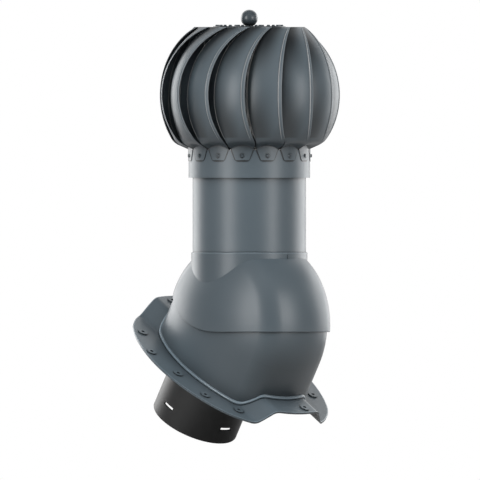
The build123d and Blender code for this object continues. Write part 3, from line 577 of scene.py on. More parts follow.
def ring_faces(rings: int, corners: int) -> np.ndarray:
    """Quads of a closed path of rings that each have the same number of corners.

    Each quad joins corner k and k + 1 of ring i with those of ring i + 1, and the last ring joins the first.

    Args:
        rings: number of rings.
        corners: corners of each ring.

    Returns:
        Corner numbers, four to a row.
    """
    first = np.arange(rings)[:, None]
    second = (first + 1) % rings
    here = np.arange(corners)[None, :]
    after = (here + 1) % corners
    near, far = first * corners, second * corners
    return np.stack([near + here, near + after, far + after, far + here], axis=-1).reshape(-1, 4)


def full_turn(steps: int) -> np.ndarray:
    """Angles once round, evenly spaced."""
    return np.linspace(0, 2 * math.pi, steps, endpoint=False)


def around(radius: float | np.ndarray, turn: np.ndarray, height: float) -> np.ndarray:
    """Points about the axis, at a radius, an angle and a height."""
    return np.stack([radius * np.cos(turn), radius * np.sin(turn), height + 0 * turn], axis=-1)


def unit(vectors: np.ndarray) -> np.ndarray:
    """Vectors of length one in the same directions."""
    return vectors / np.maximum(np.linalg.norm(vectors, axis=-1, keepdims=True), 1e-12)


def smooth_step(values: np.ndarray, start: float, end: float) -> np.ndarray:
    """Eases from 0 to 1 between two values: three times the share squared less twice its cube."""
    share = np.clip((values - start) / (end - start), 0.0, 1.0)
    return share * share * (3 - 2 * share)


@dataclass(frozen=True)
class BladePaintedLight:
    """Painted highlights and painted shade on a blade, as shares: light lines on the hem's bead and edges, and
    dark lines and shade round the tab, over the shelf and under the crown.

    The spans are shares of the vane's height, except the hidden shade's own, which is one of the blade's width.
    The rivet's painted shadow ring lies between two distances from the rivet's middle.
    """

    # painted highlight on the bead and the edges
    bead: float = 0.75
    outer_edge: float = 0.2
    inner_edge: float = 0.9
    # painted shadow round the tab, round its rivet and along its fold
    shadow_beads: float = 2.4
    shadow_rows: int = 3
    rivet_shadow: Pair = (3.4 * MM, 4.6 * MM)
    fold: float = 0.75
    # painted shade over the shelf, under the crown, over the vane's foot and by the inner edge
    shelf: float = 0.55
    shelf_span: Pair = (0.0, 0.2)
    crown_span: Pair = (0.4, 0.88)
    foot: float = 0.9
    foot_span: Pair = (0.1, 0.6)
    hidden_shade_span: Pair = (0.25, 1.0)
    least_highlight: float = 0.1


@dataclass
class BladeSet:
    """The rotor's pressed blades: tab, shelf, curved vane with a folded hem, and top flange.

    The columns' shares run from the inner to the outer edge, and the grid holds the points of the middle
    surface, by row and column.
    """

    count: int = 15
    rotor_radius: float = 127.4 * MM
    half_height: float = 121.0 * MM
    middle: float = 323.6 * MM
    top: float = 419.2 * MM
    bottom: float = 255.9 * MM
    plane_offset: float = 66.5 * MM
    step_middle: float = 13.0 * MM
    step_end: float = 2.4 * MM
    step_fullness: float = 0.7
    bulge: float = 2.3 * MM
    span_bottom: float = math.radians(22.6)
    span_top: float = math.radians(23.3)
    first_angle: float = math.radians(-45.0)
    sheet: float = 0.7 * MM
    tab_radius: float = 86.1 * MM
    tab_bottom: float = 229.8 * MM
    tab_top: float = 247.4 * MM
    tab_foot_share: float = 0.58
    tab_corner: float = 4.0 * MM
    tab_corner_share: float = 0.22
    tab_plain: Pair = (0.3, 0.9)
    tab_arch: float = 5.5 * MM
    tab_fold: float = 1.4 * MM
    flange_inner: float = 40.0 * MM
    flange_gap: float = math.radians(0.7)
    hem_width: float = 5.0 * MM
    hem_height: float = 0.6 * MM
    hem_start: Pair = (0.33, 0.42)
    hem_end: Pair = (0.93, 0.99)
    bead_width: float = 1.0 * MM
    bead_crest: float = 0.5 * MM
    fold_radius: float = 7.5 * MM
    fold_share: float = 0.04
    vane_start: float = 0.055
    tab_rows: int = 13
    tab_foot_rows: int = 7
    fold_rows: int = 7
    vane_rows: int = 44
    vane_columns: int = 26
    smooth_angle: float = 40.0
    painted_light: BladePaintedLight = BladePaintedLight()
    across: np.ndarray = field(init=False)
    grid: np.ndarray = field(init=False)

    def __post_init__(self) -> None:
        """Works out the columns' shares and the grid."""
        self.across = self.columns()
        self.grid = self.rows()

    def vane(self, up: float) -> np.ndarray:
        """Row of points of the vane's middle surface.

        The ellipse angle runs from the lowest to the highest. The radius is the ellipse's, less a step that
        grows towards the inner edge and the middle, plus a bulge. The outer edge lies in one upright plane.

        Args:
            up: share of the height.

        Returns:
            Positions about the pivot.
        """
        low = math.asin((self.bottom - self.middle) / self.half_height)
        high = math.asin((self.top - self.middle) / self.half_height)
        angle = low + (high - low) * up
        swell = np.sin(np.pi * np.clip(up, 0, 1))
        outer = self.rotor_radius * np.cos(angle)
        fullness = np.maximum(swell, 0) ** self.step_fullness
        step = self.step_end + (self.step_middle - self.step_end) * fullness
        span = self.span_bottom + (self.span_top - self.span_bottom) * up
        inward = 1 - self.across
        radius = outer - step * inward + 4 * self.bulge * swell * self.across * inward
        lead = np.arcsin(self.plane_offset / outer) - math.asin(self.plane_offset / self.rotor_radius)
        return around(radius, lead - span * inward, self.middle + self.half_height * np.sin(angle))

    def hem_line(self) -> Pair:
        """The hem's inner line and the bead's half width, as shares of the blade's width."""
        reach = self.span_bottom * self.rotor_radius
        return 1 - self.hem_width / reach, self.bead_width / reach

    def columns(self) -> np.ndarray:
        """Shares across the blade, closer together at both edges and at the hem's fold line.

        Returns:
            A share for each column.
        """
        hem, bead = self.hem_line()
        inner_edge = [0.0, 0.012]
        plain = np.linspace(0.03, hem - 2 * bead, self.vane_columns)
        line = hem + bead * np.array([-1.0, -0.6, -0.2, 0.2, 0.6, 1.0])
        outer_edge = [(hem + 1) / 2, 1 - bead / 2, 1.0]
        return np.concatenate([inner_edge, plain, line, outer_edge])

    def fold(self, before: np.ndarray, corner: np.ndarray, after: np.ndarray, reach: float) -> np.ndarray:
        """Rows of the parabola that rounds a fold.

        It runs from a point before the corner to one after it, both at the reach from it, and the corner is
        its control point.

        Args:
            before: the row before the fold.
            corner: the fold's own row.
            after: the row after it.
            reach: how far from the fold the rounding starts.

        Returns:
            Rows of points.
        """
        start = corner + unit(before - corner) * reach
        end = corner + unit(after - corner) * reach
        share = np.linspace(0, 1, self.fold_rows)[:, None, None]
        return (1 - share) ** 2 * start + 2 * share * (1 - share) * corner + share * share * end

    def tab_line(self, share: float) -> np.ndarray:
        """Row of the tab at a share of its height, narrower towards its rounded foot.

        The top is a parabola across the tab. Below the corner's radius, the half width also loses what a
        quarter circle leaves out.

        Args:
            share: share of the tab's height.

        Returns:
            Positions about the pivot.
        """
        edge = self.vane(0.0)
        azimuth = np.arctan2(edge[:, 1], edge[:, 0])
        middle = (azimuth[0] + azimuth[-1]) / 2
        place = 2 * self.across - 1
        rise = self.tab_top + self.tab_arch * (1 - place**2) - self.tab_bottom
        narrowing = self.tab_foot_share + (1 - self.tab_foot_share) * share
        into = np.clip(1 - share * rise[0] / self.tab_corner, 0, 1)
        half = (azimuth[-1] - azimuth[0]) / 2 * narrowing
        half = half - (1 - np.sqrt(1 - into * into)) * self.tab_corner / self.tab_radius
        return around(self.tab_radius, middle + place * half, self.tab_bottom + share * rise)

    def rows(self) -> np.ndarray:
        """Lines of points from the tab's foot up over the shelf and the vane to the flange.

        Returns:
            Array of rows, columns and coordinates.
        """
        foot = np.linspace(0, self.tab_corner_share, self.tab_foot_rows)
        plain = np.linspace(*self.tab_plain, self.tab_rows - self.tab_foot_rows)
        lines = [self.tab_line(share) for share in np.concatenate([foot, plain])]
        tab_head = self.tab_line(1.0)
        low_edge = self.vane(0.0)
        lines.extend(self.fold(lines[-1], tab_head, low_edge, self.tab_fold))
        lines.extend(self.fold(tab_head, low_edge, self.vane(self.fold_share), self.fold_radius))
        lines.extend(self.vane(up) for up in np.linspace(self.vane_start, 1, self.vane_rows))
        half = (2 * math.pi / self.count - self.flange_gap) / 2
        top = self.vane(1.0)
        top_middle = np.arctan2(top[:, 1], top[:, 0])[[0, -1]].mean()
        lines.append(around(self.flange_inner, top_middle + (2 * self.across - 1) * half, self.top))
        return np.array(lines)

    def fade(self) -> np.ndarray:
        """Share of the hem in each row: it begins over the shelf and ends under the top flange."""
        place = np.arange(len(self.grid)) / len(self.grid)
        return (smooth_step(place, *self.hem_start) * (1 - smooth_step(place, *self.hem_end)))[:, None]

    def crest(self) -> np.ndarray:
        """Share of the bead's height at each column: a parabola over the hem's inner line."""
        line, bead = self.hem_line()
        return np.maximum(1 - ((self.across - line) / bead) ** 2, 0)

    def hem(self) -> np.ndarray:
        """Height of the outer face over the plain sheet: a folded strip with a bead along its inner line.

        Returns:
            Heights, by row and column.
        """
        line, bead = self.hem_line()
        strip = smooth_step(self.across, line - bead, line + 0.2 * bead) - 1
        return self.fade() * (self.hem_height * strip + self.bead_crest * self.crest())[None, :]

    def highlight_line(self) -> np.ndarray:
        """Shares of painted highlight: the square of the bead's crest, and a narrow line at each edge.

        Returns:
            Shares, by row and column.
        """
        _, bead = self.hem_line()
        inner = np.where(self.across < bead, self.painted_light.inner_edge, 0.0)
        edge = np.where(self.across > 1 - bead, self.painted_light.outer_edge, inner)
        return self.fade() * np.maximum(self.painted_light.bead * self.crest() ** 2, edge)[None, :]

    def tab_shadow(self) -> np.ndarray:
        """Shares of painted shadow round the tab, round its rivet and along its fold.

        Returns:
            Shares, by row and column.
        """
        margin = self.painted_light.shadow_beads * self.hem_line()[1]
        row = np.arange(len(self.grid))[:, None]
        side = np.where((self.across < margin) | (self.across > 1 - margin), 1.0, 0.0)[None, :]
        foot = np.where(row < self.painted_light.shadow_rows, 1.0, 0.0)
        rise = self.grid[..., 2] - RIVET_HEIGHT
        aside = (self.across - 0.5) * (self.span_bottom * self.tab_radius)
        rivet = 1 - smooth_step(np.hypot(rise, aside[None, :]), *self.painted_light.rivet_shadow)
        on_fold = (row > self.tab_rows) & (row < self.tab_rows + self.fold_rows - 1)
        fold = np.where(on_fold, self.painted_light.fold, 0.0)
        gap = np.maximum(np.maximum(side, rivet), np.maximum(foot, fold))
        return np.where(row < self.tab_rows + self.fold_rows, gap, 0.0)

    def hidden_shade(self) -> np.ndarray:
        """Shares of painted shade over the shelf and under the crown.

        Away from the shelf it fades out from the inner edge, which the blade in front covers and shades.

        Returns:
            Shares, by row and column.
        """
        row = np.arange(len(self.grid))[:, None]
        first = self.tab_rows + 2 * self.fold_rows
        up = np.clip((row - first + 1) / self.vane_rows, 0, 1)
        low = self.painted_light.shelf * (1 - smooth_step(up, *self.painted_light.shelf_span))
        shelf = np.where(row >= self.tab_rows + self.fold_rows, low, 0.0)
        foot = self.painted_light.foot * (1 - smooth_step(up, *self.painted_light.foot_span)) * (up > 0)
        ends = smooth_step(up, *self.painted_light.crown_span) + foot
        hidden = ends * (1 - smooth_step(self.across, *self.painted_light.hidden_shade_span))[None, :]
        return np.maximum(shelf, hidden)

    def lines(self) -> dict[str, np.ndarray]:
        """Marks that the coat reads: painted highlights, and painted shadows and shade where there is no
        highlight.

        Returns:
            For each attribute's name, a share for each point of the outer face and then of the inner face.
        """
        highlight = self.highlight_line()
        hidden_shade = np.where(highlight > self.painted_light.least_highlight, 0.0, self.hidden_shade())
        both = {"highlight_line": highlight, "shadow_line": np.maximum(self.tab_shadow(), hidden_shade)}
        return {name: np.concatenate([share.ravel(), share.ravel()]) for name, share in both.items()}

    def blade(self) -> Arrays:
        """One blade: the outer face, the inner face a sheet's thickness behind, and the rim between them.

        Both faces are the grid moved along its normals, the cross product of its two gradients.

        Returns:
            Points about the pivot and quads.
        """
        count, wide = self.grid.shape[:2]
        along, aside = np.gradient(self.grid, axis=(0, 1))
        normal = unit(np.cross(aside, along))
        outward = np.sign((normal * self.grid * np.array([1, 1, 0])).sum(axis=(0, 1)).sum())
        normal = normal * outward
        outer = self.grid + normal * (self.sheet / 2 + self.hem())[..., None]
        inner = self.grid - normal * (self.sheet / 2)
        points = np.concatenate([outer.reshape(-1, 3), inner.reshape(-1, 3)])
        index = np.arange(count * wide).reshape(count, wide)
        quads = np.stack([index[:-1, :-1], index[:-1, 1:], index[1:, 1:], index[1:, :-1]], axis=-1)
        quads = quads.reshape(-1, 4)
        back = quads[:, ::-1] + count * wide
        loop = np.concatenate([index[0, :-1], index[:-1, -1], index[-1, :0:-1], index[:0:-1, 0]])
        after = np.roll(loop, -1)
        rim = np.stack([loop, loop + count * wide, after + count * wide, after], axis=-1)
        return points, np.concatenate([quads, back, rim])

    def build(self, wardrobe: Wardrobe) -> None:
        """Makes every blade in its place, marks its lines and dresses it.

        Args:
            wardrobe: the finishes.
        """
        points, quads = self.blade()
        marks = self.lines()
        for index in range(self.count):
            turn = self.first_angle + index * 2 * math.pi / self.count
            c, s = math.cos(turn), math.sin(turn)
            placed = points @ np.array([[c, s, 0], [-s, c, 0], [0, 0, 1]])
            node = f"blade_{index + 1:02d}"
            piece = add_piece(f"dressed_{node}", placed, quads, Body.ROTOR, self.smooth_angle)
            # painted highlight and shadow lines, which the blade coat reads
            for name, shares in marks.items():
                mark = piece.data.attributes.new(name, "FLOAT", "POINT")
                mark.data.foreach_set("value", shares.astype(np.float32))
            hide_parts(node)
            wardrobe.dress(piece, "blade_sheet")


@dataclass(frozen=True)
class Oval:
    """Closed outline of eight tangent arcs: a crown at each end, a side at each flank and four corners.

    The two angles, in degrees, are the directions at which a crown meets a corner and a corner meets a side.
    """

    half_length: float
    half_width: float
    corner: float
    crown_angle: float
    corner_angle: float
    quarter_steps: int = 180

    def outline(self, inset: float, steps: int) -> Arrays:
        """Points and outward directions along the outline, moved in by the inset.

        The direction's angle runs once round. Each point is its arc's centre plus the arc's radius along it.

        Args:
            inset: how far inside the outline the points lie.
            steps: number of points.

        Returns:
            Points and directions, each with two coordinates to a row.
        """
        c1, s1 = math.cos(math.radians(self.crown_angle)), math.sin(math.radians(self.crown_angle))
        c2, s2 = math.cos(math.radians(self.corner_angle)), math.sin(math.radians(self.corner_angle))
        right_x = self.half_length - self.corner * (c1 - c2)
        right_y = self.half_width - self.corner * (s2 - s1)
        crown = (right_x * (1 - s2) - right_y * c2) / ((1 - c1) * (1 - s2) - s1 * c2)
        side = (right_x - crown * (1 - c1)) / c2
        crown_x = self.half_length - crown
        corner_at = np.array([crown_x + (crown - self.corner) * c1, (crown - self.corner) * s1])
        turn = full_turn(steps)
        way = np.stack([np.cos(turn), np.sin(turn)], axis=-1)
        tilt = np.degrees(np.arctan2(np.abs(way[:, 1]), np.abs(way[:, 0])))
        sign = np.sign(way) + (way == 0)
        on_crown = tilt < self.crown_angle
        on_side = tilt > self.corner_angle
        centre = np.where(on_crown[:, None], [crown_x, 0.0], corner_at)
        centre = np.where(on_side[:, None], [0.0, self.half_width - side], centre) * sign
        radius = np.where(on_crown, crown, np.where(on_side, side, self.corner)) - inset
        return centre + way * radius[:, None], way

    def quarter(self, inset: float) -> np.ndarray:
        """Points of the outline from the middle of a side round to the front, moved in by the inset."""
        flat, _ = self.outline(inset, 4 * self.quarter_steps)
        return flat[self.quarter_steps::-1]


DOME = Oval(124 * MM, 91 * MM, 50 * MM, 21.0, 62.0)
FLANGE = Oval(156 * MM, 131 * MM, 100 * MM, 16.0, 63.0)


def sweep(path: np.ndarray, across: np.ndarray, over: np.ndarray, profile: np.ndarray) -> Arrays:
    """Closed tube: rings of a profile carried once round along a path.

    Each ring's corner is the path point plus the profile's two shares along the two directions there.

    Args:
        path: points of the path.
        across: first direction at each point.
        over: second direction at each point.
        profile: corners of the cross-section, two shares to a row.

    Returns:
        Positions, ring after ring, and quads.
    """
    sideways = profile[None, :, :1] * across[:, None, :]
    upright = profile[None, :, 1:] * over[:, None, :]
    rings = path[:, None, :] + sideways + upright
    return rings.reshape(-1, 3), ring_faces(len(path), len(profile))


def round_profile(width: float, height: float, corners: int = 12) -> np.ndarray:
    """Corners of an ellipse of that half width and half height."""
    turn = full_turn(corners)
    return np.stack([width * np.cos(turn), height * np.sin(turn)], axis=-1)


def upwards(count: int) -> np.ndarray:
    """The direction +Z, once for each point."""
    return np.tile([0.0, 0.0, 1.0], (count, 1))


def off_roof(points: np.ndarray) -> np.ndarray:
    """Turns positions along, across and off the roof plane to the frame's axes.

    The roof falls along +X by its pitch. Positions come in from the foot of the pivot on the valley plane,
    which lies under the pivot by its rise, and are turned by the cosine and sine of the pitch.

    Args:
        points: positions along, across and off the roof, one row each.

    Returns:
        Positions about the pivot.
    """
    foot = points + np.array([0.0, 0.0, -PIVOT_RISE])
    c, s = math.cos(ROOF_PITCH), math.sin(ROOF_PITCH)
    return np.stack([foot[:, 0] * c + foot[:, 2] * s, foot[:, 1], foot[:, 2] * c - foot[:, 0] * s], axis=-1)


@dataclass
class BaseTrim:
    """Rounded edges of the lower moulding, with painted highlight: the flange's rim and the bead round the dome's
    foot.
    """

    flange: Oval = FLANGE
    shell: Oval = DOME
    steps: int = 360
    crest_half_width: float = 39.0 * MM
    valley_half_pitch: float = 61.0 * MM
    crest_height: float = 24.3 * MM
    bend_radius: float = 14.0 * MM
    flange_thickness: float = 2.6 * MM
    rim_half_width: float = 1.2 * MM
    rim_cover: float = 0.25 * MM
    shell_inset: float = 4.2 * MM
    bead_half_width: float = 2.2 * MM
    bead_proud: float = 1.8 * MM
    bead_sunk: float = 1.4 * MM
    bead_height: float = 4.5 * MM
    bead_cover: float = 0.3 * MM

    def wave(self, across: np.ndarray) -> np.ndarray:
        """Height of the flange over the valley plane: crest, arc, straight slope, arc, valley.

        Args:
            across: distances along the roof from the crest's middle.

        Returns:
            A height for each distance.
        """
        slope = math.atan2(self.crest_height, self.valley_half_pitch - self.crest_half_width)
        reach = self.bend_radius * math.tan(slope / 2)
        away = np.abs(across)
        top = self.crest_half_width - reach
        foot = self.valley_half_pitch + reach
        line = (self.valley_half_pitch - away) * math.tan(slope)
        high = self.crest_height - self.bend_radius
        drop = np.sqrt(np.maximum(self.bend_radius**2 - np.clip(away - top, 0, None) ** 2, 0))
        rise = np.sqrt(np.maximum(self.bend_radius**2 - np.clip(foot - away, 0, None) ** 2, 0))
        bend = reach * math.cos(slope)
        height = np.where(away < self.crest_half_width + bend, high + drop, line)
        height = np.where(away > self.valley_half_pitch - bend, self.bend_radius - rise, height)
        return np.where(away > foot, 0.0, height)

    def trim(self, oval: Oval, inset: float, lift: float, profile: np.ndarray) -> Arrays:
        """Closed bead along an oval that lies on the wave.

        The path is the oval's outline at the wave's height plus the lift, and the profile is swept along it.

        Args:
            oval: the outline, seen square to the roof.
            inset: how far inside the outline the bead's middle lies.
            lift: its height over the flange's underside.
            profile: corners of its cross-section.

        Returns:
            Points about the pivot and quads.
        """
        flat, way = oval.outline(inset, self.steps)
        height = self.wave(flat[:, 1]) + lift
        path = np.column_stack([flat, height])
        across = np.column_stack([way, np.zeros(len(way))])
        points, quads = sweep(path, across, upwards(len(way)), profile)
        return off_roof(points), quads

    def build(self, wardrobe: Wardrobe) -> None:
        """Makes the rim and the bead and dresses them with painted highlight.

        Args:
            wardrobe: the finishes.
        """
        # the rim and the bead wear the lighter copy of the slate, as painted highlight
        rim = round_profile(self.rim_half_width, self.flange_thickness / 2 + self.rim_cover)
        points, quads = self.trim(self.flange, self.rim_half_width, self.flange_thickness / 2, rim)
        wardrobe.dress(add_piece("flange_rim", points, quads, Body.BASE), "edge_highlight")
        bead = round_profile(self.bead_half_width, self.bead_height / 2 + self.bead_cover)
        inset = self.shell_inset - self.bead_proud + self.bead_sunk
        points, quads = self.trim(self.shell, inset, self.flange_thickness + self.bead_height / 2, bead)
        wardrobe.dress(add_piece("foot_bead", points, quads, Body.BASE), "edge_highlight")


@dataclass
class HoodTrim:
    """Rounded edges of the tilting hood and its collar, the seal's lip, and the skins in its cheeks."""

    shell: Oval = DOME
    wall: float = 2.2 * MM
    edge_drop: float = 9.7 * MM
    edge_lean: float = 1.3
    level_steps: int = 90
    bend_start: float = 30.0 * MM
    bend_radius: float = 166.7 * MM
    bend_end: float = -165.0
    bend_steps: int = 160
    collar_radius: float = 82.0 * MM
    collar_top: float = 101.52 * MM
    collar_steps: int = 180
    lip: float = 1.8 * MM
    lip_inset: float = 0.4
    stack_radius: float = 80.0 * MM
    seal_thickness: float = 0.9 * MM
    seal_proud: float = 0.35 * MM
    seal_rise: float = 0.2 * MM
    cheek_radius: float = 7.0 * MM
    cheek_proud: float = 0.03 * MM
    cheek_rings: int = 8
    cheek_steps: int = 48

    def edge_path(self) -> Arrays:
        """Lower edge: level from the front, then one arc up to the rear.

        At each point of that line in side view, the dome's outline gives how far to the side the wall stands
        at that distance from the pivot axis.

        Returns:
            Points about the pivot and outward directions, once round.
        """
        quarter = self.shell.quarter(self.wall / 2)
        front = quarter[-1, 0]
        start = math.sqrt(front**2 - self.edge_drop**2)
        along = np.linspace(start, self.bend_start, self.level_steps)
        level = np.column_stack([along, np.full(self.level_steps, -self.edge_drop)])
        turn = np.radians(np.linspace(-90, self.bend_end, self.bend_steps))[1:]
        bend = np.column_stack([np.cos(turn), np.sin(turn)]) * self.bend_radius
        bend += np.array([self.bend_start, self.bend_radius - self.edge_drop])
        line = np.concatenate([level, bend])
        line = line[np.hypot(line[:, 0], line[:, 1]) <= front]
        away = np.interp(np.hypot(line[:, 0], line[:, 1]), quarter[:, 0], quarter[:, 1])
        near = np.column_stack([line[:, 0], away, line[:, 1]])
        far = (near * [1, -1, 1])[:0:-1]
        path = np.concatenate([near, far])
        return path, unit(path * np.array([1.0, self.edge_lean, 1.0]))

    def build_edge(self, wardrobe: Wardrobe) -> None:
        """Makes and dresses the round bead along the lower edge.

        Its section stands on the outward direction and on the cross product of that with the path's own.

        Args:
            wardrobe: the finishes.
        """
        path, outward = self.edge_path()
        along = unit(np.roll(path, -1, axis=0) - np.roll(path, 1, axis=0))
        over = unit(np.cross(along, outward))
        points, quads = sweep(path, outward, over, round_profile(self.wall / 2, self.wall / 2))
        wardrobe.dress(add_piece("hood_rim", points, quads, Body.HOOD), "hood_moulding")

    def ring(self, radius: float, height: float, thickness: float) -> Arrays:
        """Level ring of round section about the stack's axis.

        Args:
            radius: radius of the section's middle.
            height: its height over the pivot.
            thickness: the section's diameter.

        Returns:
            Points about the pivot and quads.
        """
        turn = full_turn(self.collar_steps)
        outward = np.column_stack([np.cos(turn), np.sin(turn), np.zeros(len(turn))])
        over = upwards(len(turn))
        path = outward * radius + over * height
        return sweep(path, outward, over, round_profile(thickness / 2, thickness / 2))

    def build_collar(self, wardrobe: Wardrobe) -> None:
        """Makes and dresses the collar's rounded lip, with painted highlight, and the dark seal line inside it.

        Args:
            wardrobe: the finishes.
        """
        radius = self.collar_radius - self.lip_inset * self.lip
        points, quads = self.ring(radius, self.collar_top - self.lip / 2, self.lip)
        # the collar's lip wears the lighter copy of the slate, as painted highlight
        wardrobe.dress(add_piece("collar_rim", points, quads, Body.HOOD), "edge_highlight")
        radius = self.stack_radius + self.seal_proud
        points, quads = self.ring(radius, self.collar_top + self.seal_rise, self.seal_thickness)
        wardrobe.dress(add_piece("seal_lip", points, quads, Body.HOOD), "rubber")

    def build_cheeks(self, wardrobe: Wardrobe) -> None:
        """Makes and dresses the skin in the middle of each cheek, where the wall's facets meet in a point.

        The skin is a shallow cap: at each distance from the pivot axis it stands as far out as the wall's
        arc, and its back is a disc inside the wall.

        Args:
            wardrobe: the finishes.
        """
        quarter = self.shell.quarter(0.0)
        radius = np.linspace(0.0, self.cheek_radius, self.cheek_rings)
        out = np.interp(radius, quarter[:, 0], quarter[:, 1]) + self.cheek_proud
        turn = full_turn(self.cheek_steps)
        rings = np.concatenate([radius, radius[::-1]])
        stand = np.concatenate([out, np.full(len(out), out[-1] - self.wall / 2)])
        path = np.stack([np.cos(turn), 0 * turn, np.sin(turn)], axis=-1)
        points = rings[None, :, None] * path[:, None, :] + stand[None, :, None] * np.array([0.0, 1.0, 0.0])
        quads = ring_faces(len(turn), len(rings))
        for name, side in (("left_cheek_skin", -1), ("right_cheek_skin", 1)):
            placed, faces = weld(points.reshape(-1, 3) * np.array([1.0, side, 1.0]), quads)
            wardrobe.dress(add_piece(name, placed, faces, Body.HOOD), "hood_moulding")

    def build(self, wardrobe: Wardrobe) -> None:
        """Makes and dresses the cheeks, the collar and the lower edge.

        Args:
            wardrobe: the finishes.
        """
        self.build_cheeks(wardrobe)
        self.build_collar(wardrobe)
        self.build_edge(wardrobe)


@dataclass(frozen=True)
class Softbox:
    """Rectangular soft light.

    The side is in degrees from the camera's direction, positive to the picture's right. The height is over
    the pivot, and the distance is the level one from the cowl's axis.
    """

    name: str
    side: float
    height: float
    width: float
    tall: float
    watts: float
    distance: float = 1.6
    diffuse: bool = True
    glossy: bool = True


SOFTBOXES = (
    Softbox("left_strip", -42, 0.45, 0.6, 1.3, 5.0),
    Softbox("right_strip", 47, 0.45, 0.5, 1.3, 4.0),
    Softbox("left_rim", -135, 0.3, 1.15, 1.3, 4.8, diffuse=False),
    Softbox("right_rim", 128, 0.3, 1.5, 1.3, 6.6, diffuse=False),
    Softbox("top_fill", -10, 1.5, 1.2, 0.9, 3.0, distance=0.9, glossy=False),
)


def aim(thing: bpy.types.Object, way: Vector) -> None:
    """Turns a camera or a light so that it looks along a direction."""
    thing.rotation_mode = "QUATERNION"
    thing.rotation_quaternion = way.to_track_quat("-Z", "Y")


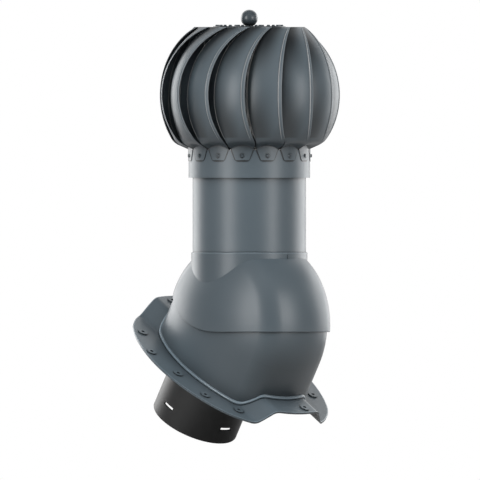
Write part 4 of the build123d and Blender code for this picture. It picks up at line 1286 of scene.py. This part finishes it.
@dataclass
class Studio:
    """White backdrop, pale floor, soft lights and the photograph's camera."""

    azimuth: float = math.radians(48.0)
    frame_width: float = 0.677
    aside: float = -0.0131
    above: float = 0.1191
    distance: float = 4.0
    floor_gap: float = 0.002
    floor_half: float = 9.0
    floor_dark: float = 0.05
    floor_pale: float = 0.86
    light_below: float = 0.06
    light_above: float = 0.72
    light_span: Pair = (-0.9, 0.9)
    mirror_span: Pair = (-0.8, -0.3)
    mirror_light: Pair = (1.2, 0.1)
    mirror_gain: float = 2.0
    lamp_spread: float = math.radians(100.0)
    aim_height: float = 0.15

    def axes(self) -> tuple[Vector, Vector]:
        """Unit vectors to the camera and to the picture's right.

        Returns:
            The two vectors.
        """
        back = Vector((math.sin(self.azimuth), -math.cos(self.azimuth), 0))
        right = Vector((math.cos(self.azimuth), math.sin(self.azimuth), 0))
        return back, right

    def centre(self) -> Vector:
        """The point in the middle of the picture."""
        _, right = self.axes()
        return Vector(PIVOT) + right * self.aside + Vector((0, 0, self.above))

    def make_camera(self) -> None:
        """Level parallel camera, because the photograph shows no perspective."""
        data = bpy.data.cameras.new("camera")
        data.type = "ORTHO"
        data.ortho_scale = self.frame_width
        camera = new_object("camera", data)
        back, _ = self.axes()
        camera.location = self.centre() + back * self.distance
        aim(camera, -back)
        bpy.context.scene.camera = camera

    def hang(self, box: Softbox) -> None:
        """Hangs a soft light in its place and aims it at the cowl.

        Args:
            box: the light.
        """
        data = bpy.data.lights.new(box.name, "AREA")
        data.shape = "RECTANGLE"
        data.size, data.size_y = box.width, box.tall
        data.energy = box.watts
        data.spread = self.lamp_spread
        light = new_object(box.name, data)
        back, right = self.axes()
        turn = math.radians(box.side)
        direction = back * math.cos(turn) + right * math.sin(turn)
        light.location = Vector(PIVOT) + direction * box.distance + Vector((0, 0, box.height))
        aim(light, Vector(PIVOT) + Vector((0, 0, self.aim_height)) - light.location)
        light.visible_camera = False
        light.visible_diffuse = box.diffuse
        light.visible_glossy = box.glossy

    def make_world(self) -> None:
        """White for the camera, and softer light on the cowl that falls from above.

        The strength rises with the direction's height. Reflections see it times a gain that eases from the
        white backdrop behind the cowl to a dark room round the camera.
        """
        world = bpy.data.worlds.new("studio")
        bpy.context.scene.world = world
        world.use_nodes = True
        net = NodeTree(world.node_tree, "ShaderNodeOutputWorld")
        path = net.add("ShaderNodeLightPath")
        way = net.add("ShaderNodeTexCoord").outputs["Generated"]
        height = net.add("ShaderNodeSeparateXYZ", Vector=way)
        above = net.span(height.outputs["Z"], self.light_span, (self.light_below, self.light_above))
        toward = net.add("ShaderNodeVectorMath", way, self.axes()[0], operation="DOT_PRODUCT")
        behind = net.span(toward.outputs["Value"], self.mirror_span, self.mirror_light, "SMOOTHSTEP")
        mirrored = net.reckon("MULTIPLY", net.reckon("MULTIPLY", behind, above), self.mirror_gain)
        seen, soft, glossy = (
            net.add("ShaderNodeBackground", Color=(*WHITE, 1), Strength=strength).outputs["Background"]
            for strength in (1.0, above, mirrored)
        )
        on_cowl = net.mix_shaders(path.outputs["Is Glossy Ray"], soft, glossy)
        direct = net.reckon("MAXIMUM", path.outputs["Is Camera Ray"], path.outputs["Is Transmission Ray"])
        net.feed(net.output, Surface=net.mix_shaders(direct, on_cowl, seen))

    def make_floor(self) -> None:
        """Floor just under the cowl's lowest point, pale where it is seen and dark where it gives light."""
        half, height = self.floor_half, CAD_BOX[0].z - self.floor_gap
        corners = [(x * half, y * half, height) for x, y in ((-1, -1), (1, -1), (1, 1), (-1, 1))]
        mesh = bpy.data.meshes.new("floor")
        mesh.from_pydata(corners, [], [(0, 1, 2, 3)])
        floor = new_object("floor", mesh)
        net = MaterialTree("pale_floor")
        path = net.add("ShaderNodeLightPath")
        seen = net.reckon("MAXIMUM", path.outputs["Is Camera Ray"], path.outputs["Is Glossy Ray"])
        seen = net.reckon("MAXIMUM", seen, path.outputs["Is Transmission Ray"])
        tone = net.ramp(seen, (self.floor_dark,) * 3, (self.floor_pale,) * 3, (0.4, 0.6))
        net.feed(net.shader, Base_Color=tone, Roughness=0.9, Specular_IOR_Level=0.0)
        floor.data.materials.append(net.material)

    def build(self) -> None:
        """Sets the whole studio and the plain view transform."""
        self.make_camera()
        self.make_world()
        self.make_floor()
        for box in SOFTBOXES:
            self.hang(box)
        bpy.context.scene.view_settings.view_transform = "Standard"
        log.info("studio ready")


def main() -> None:
    """Builds the studio, dresses the frame and adds the modelled pieces."""
    logging.basicConfig(level=logging.INFO)
    Studio().build()
    wardrobe = Wardrobe()
    wardrobe.dress_frame()
    BladeSet().build(wardrobe)
    BaseTrim().build(wardrobe)
    HoodTrim().build(wardrobe)


if __name__ == "__main__":
    main()
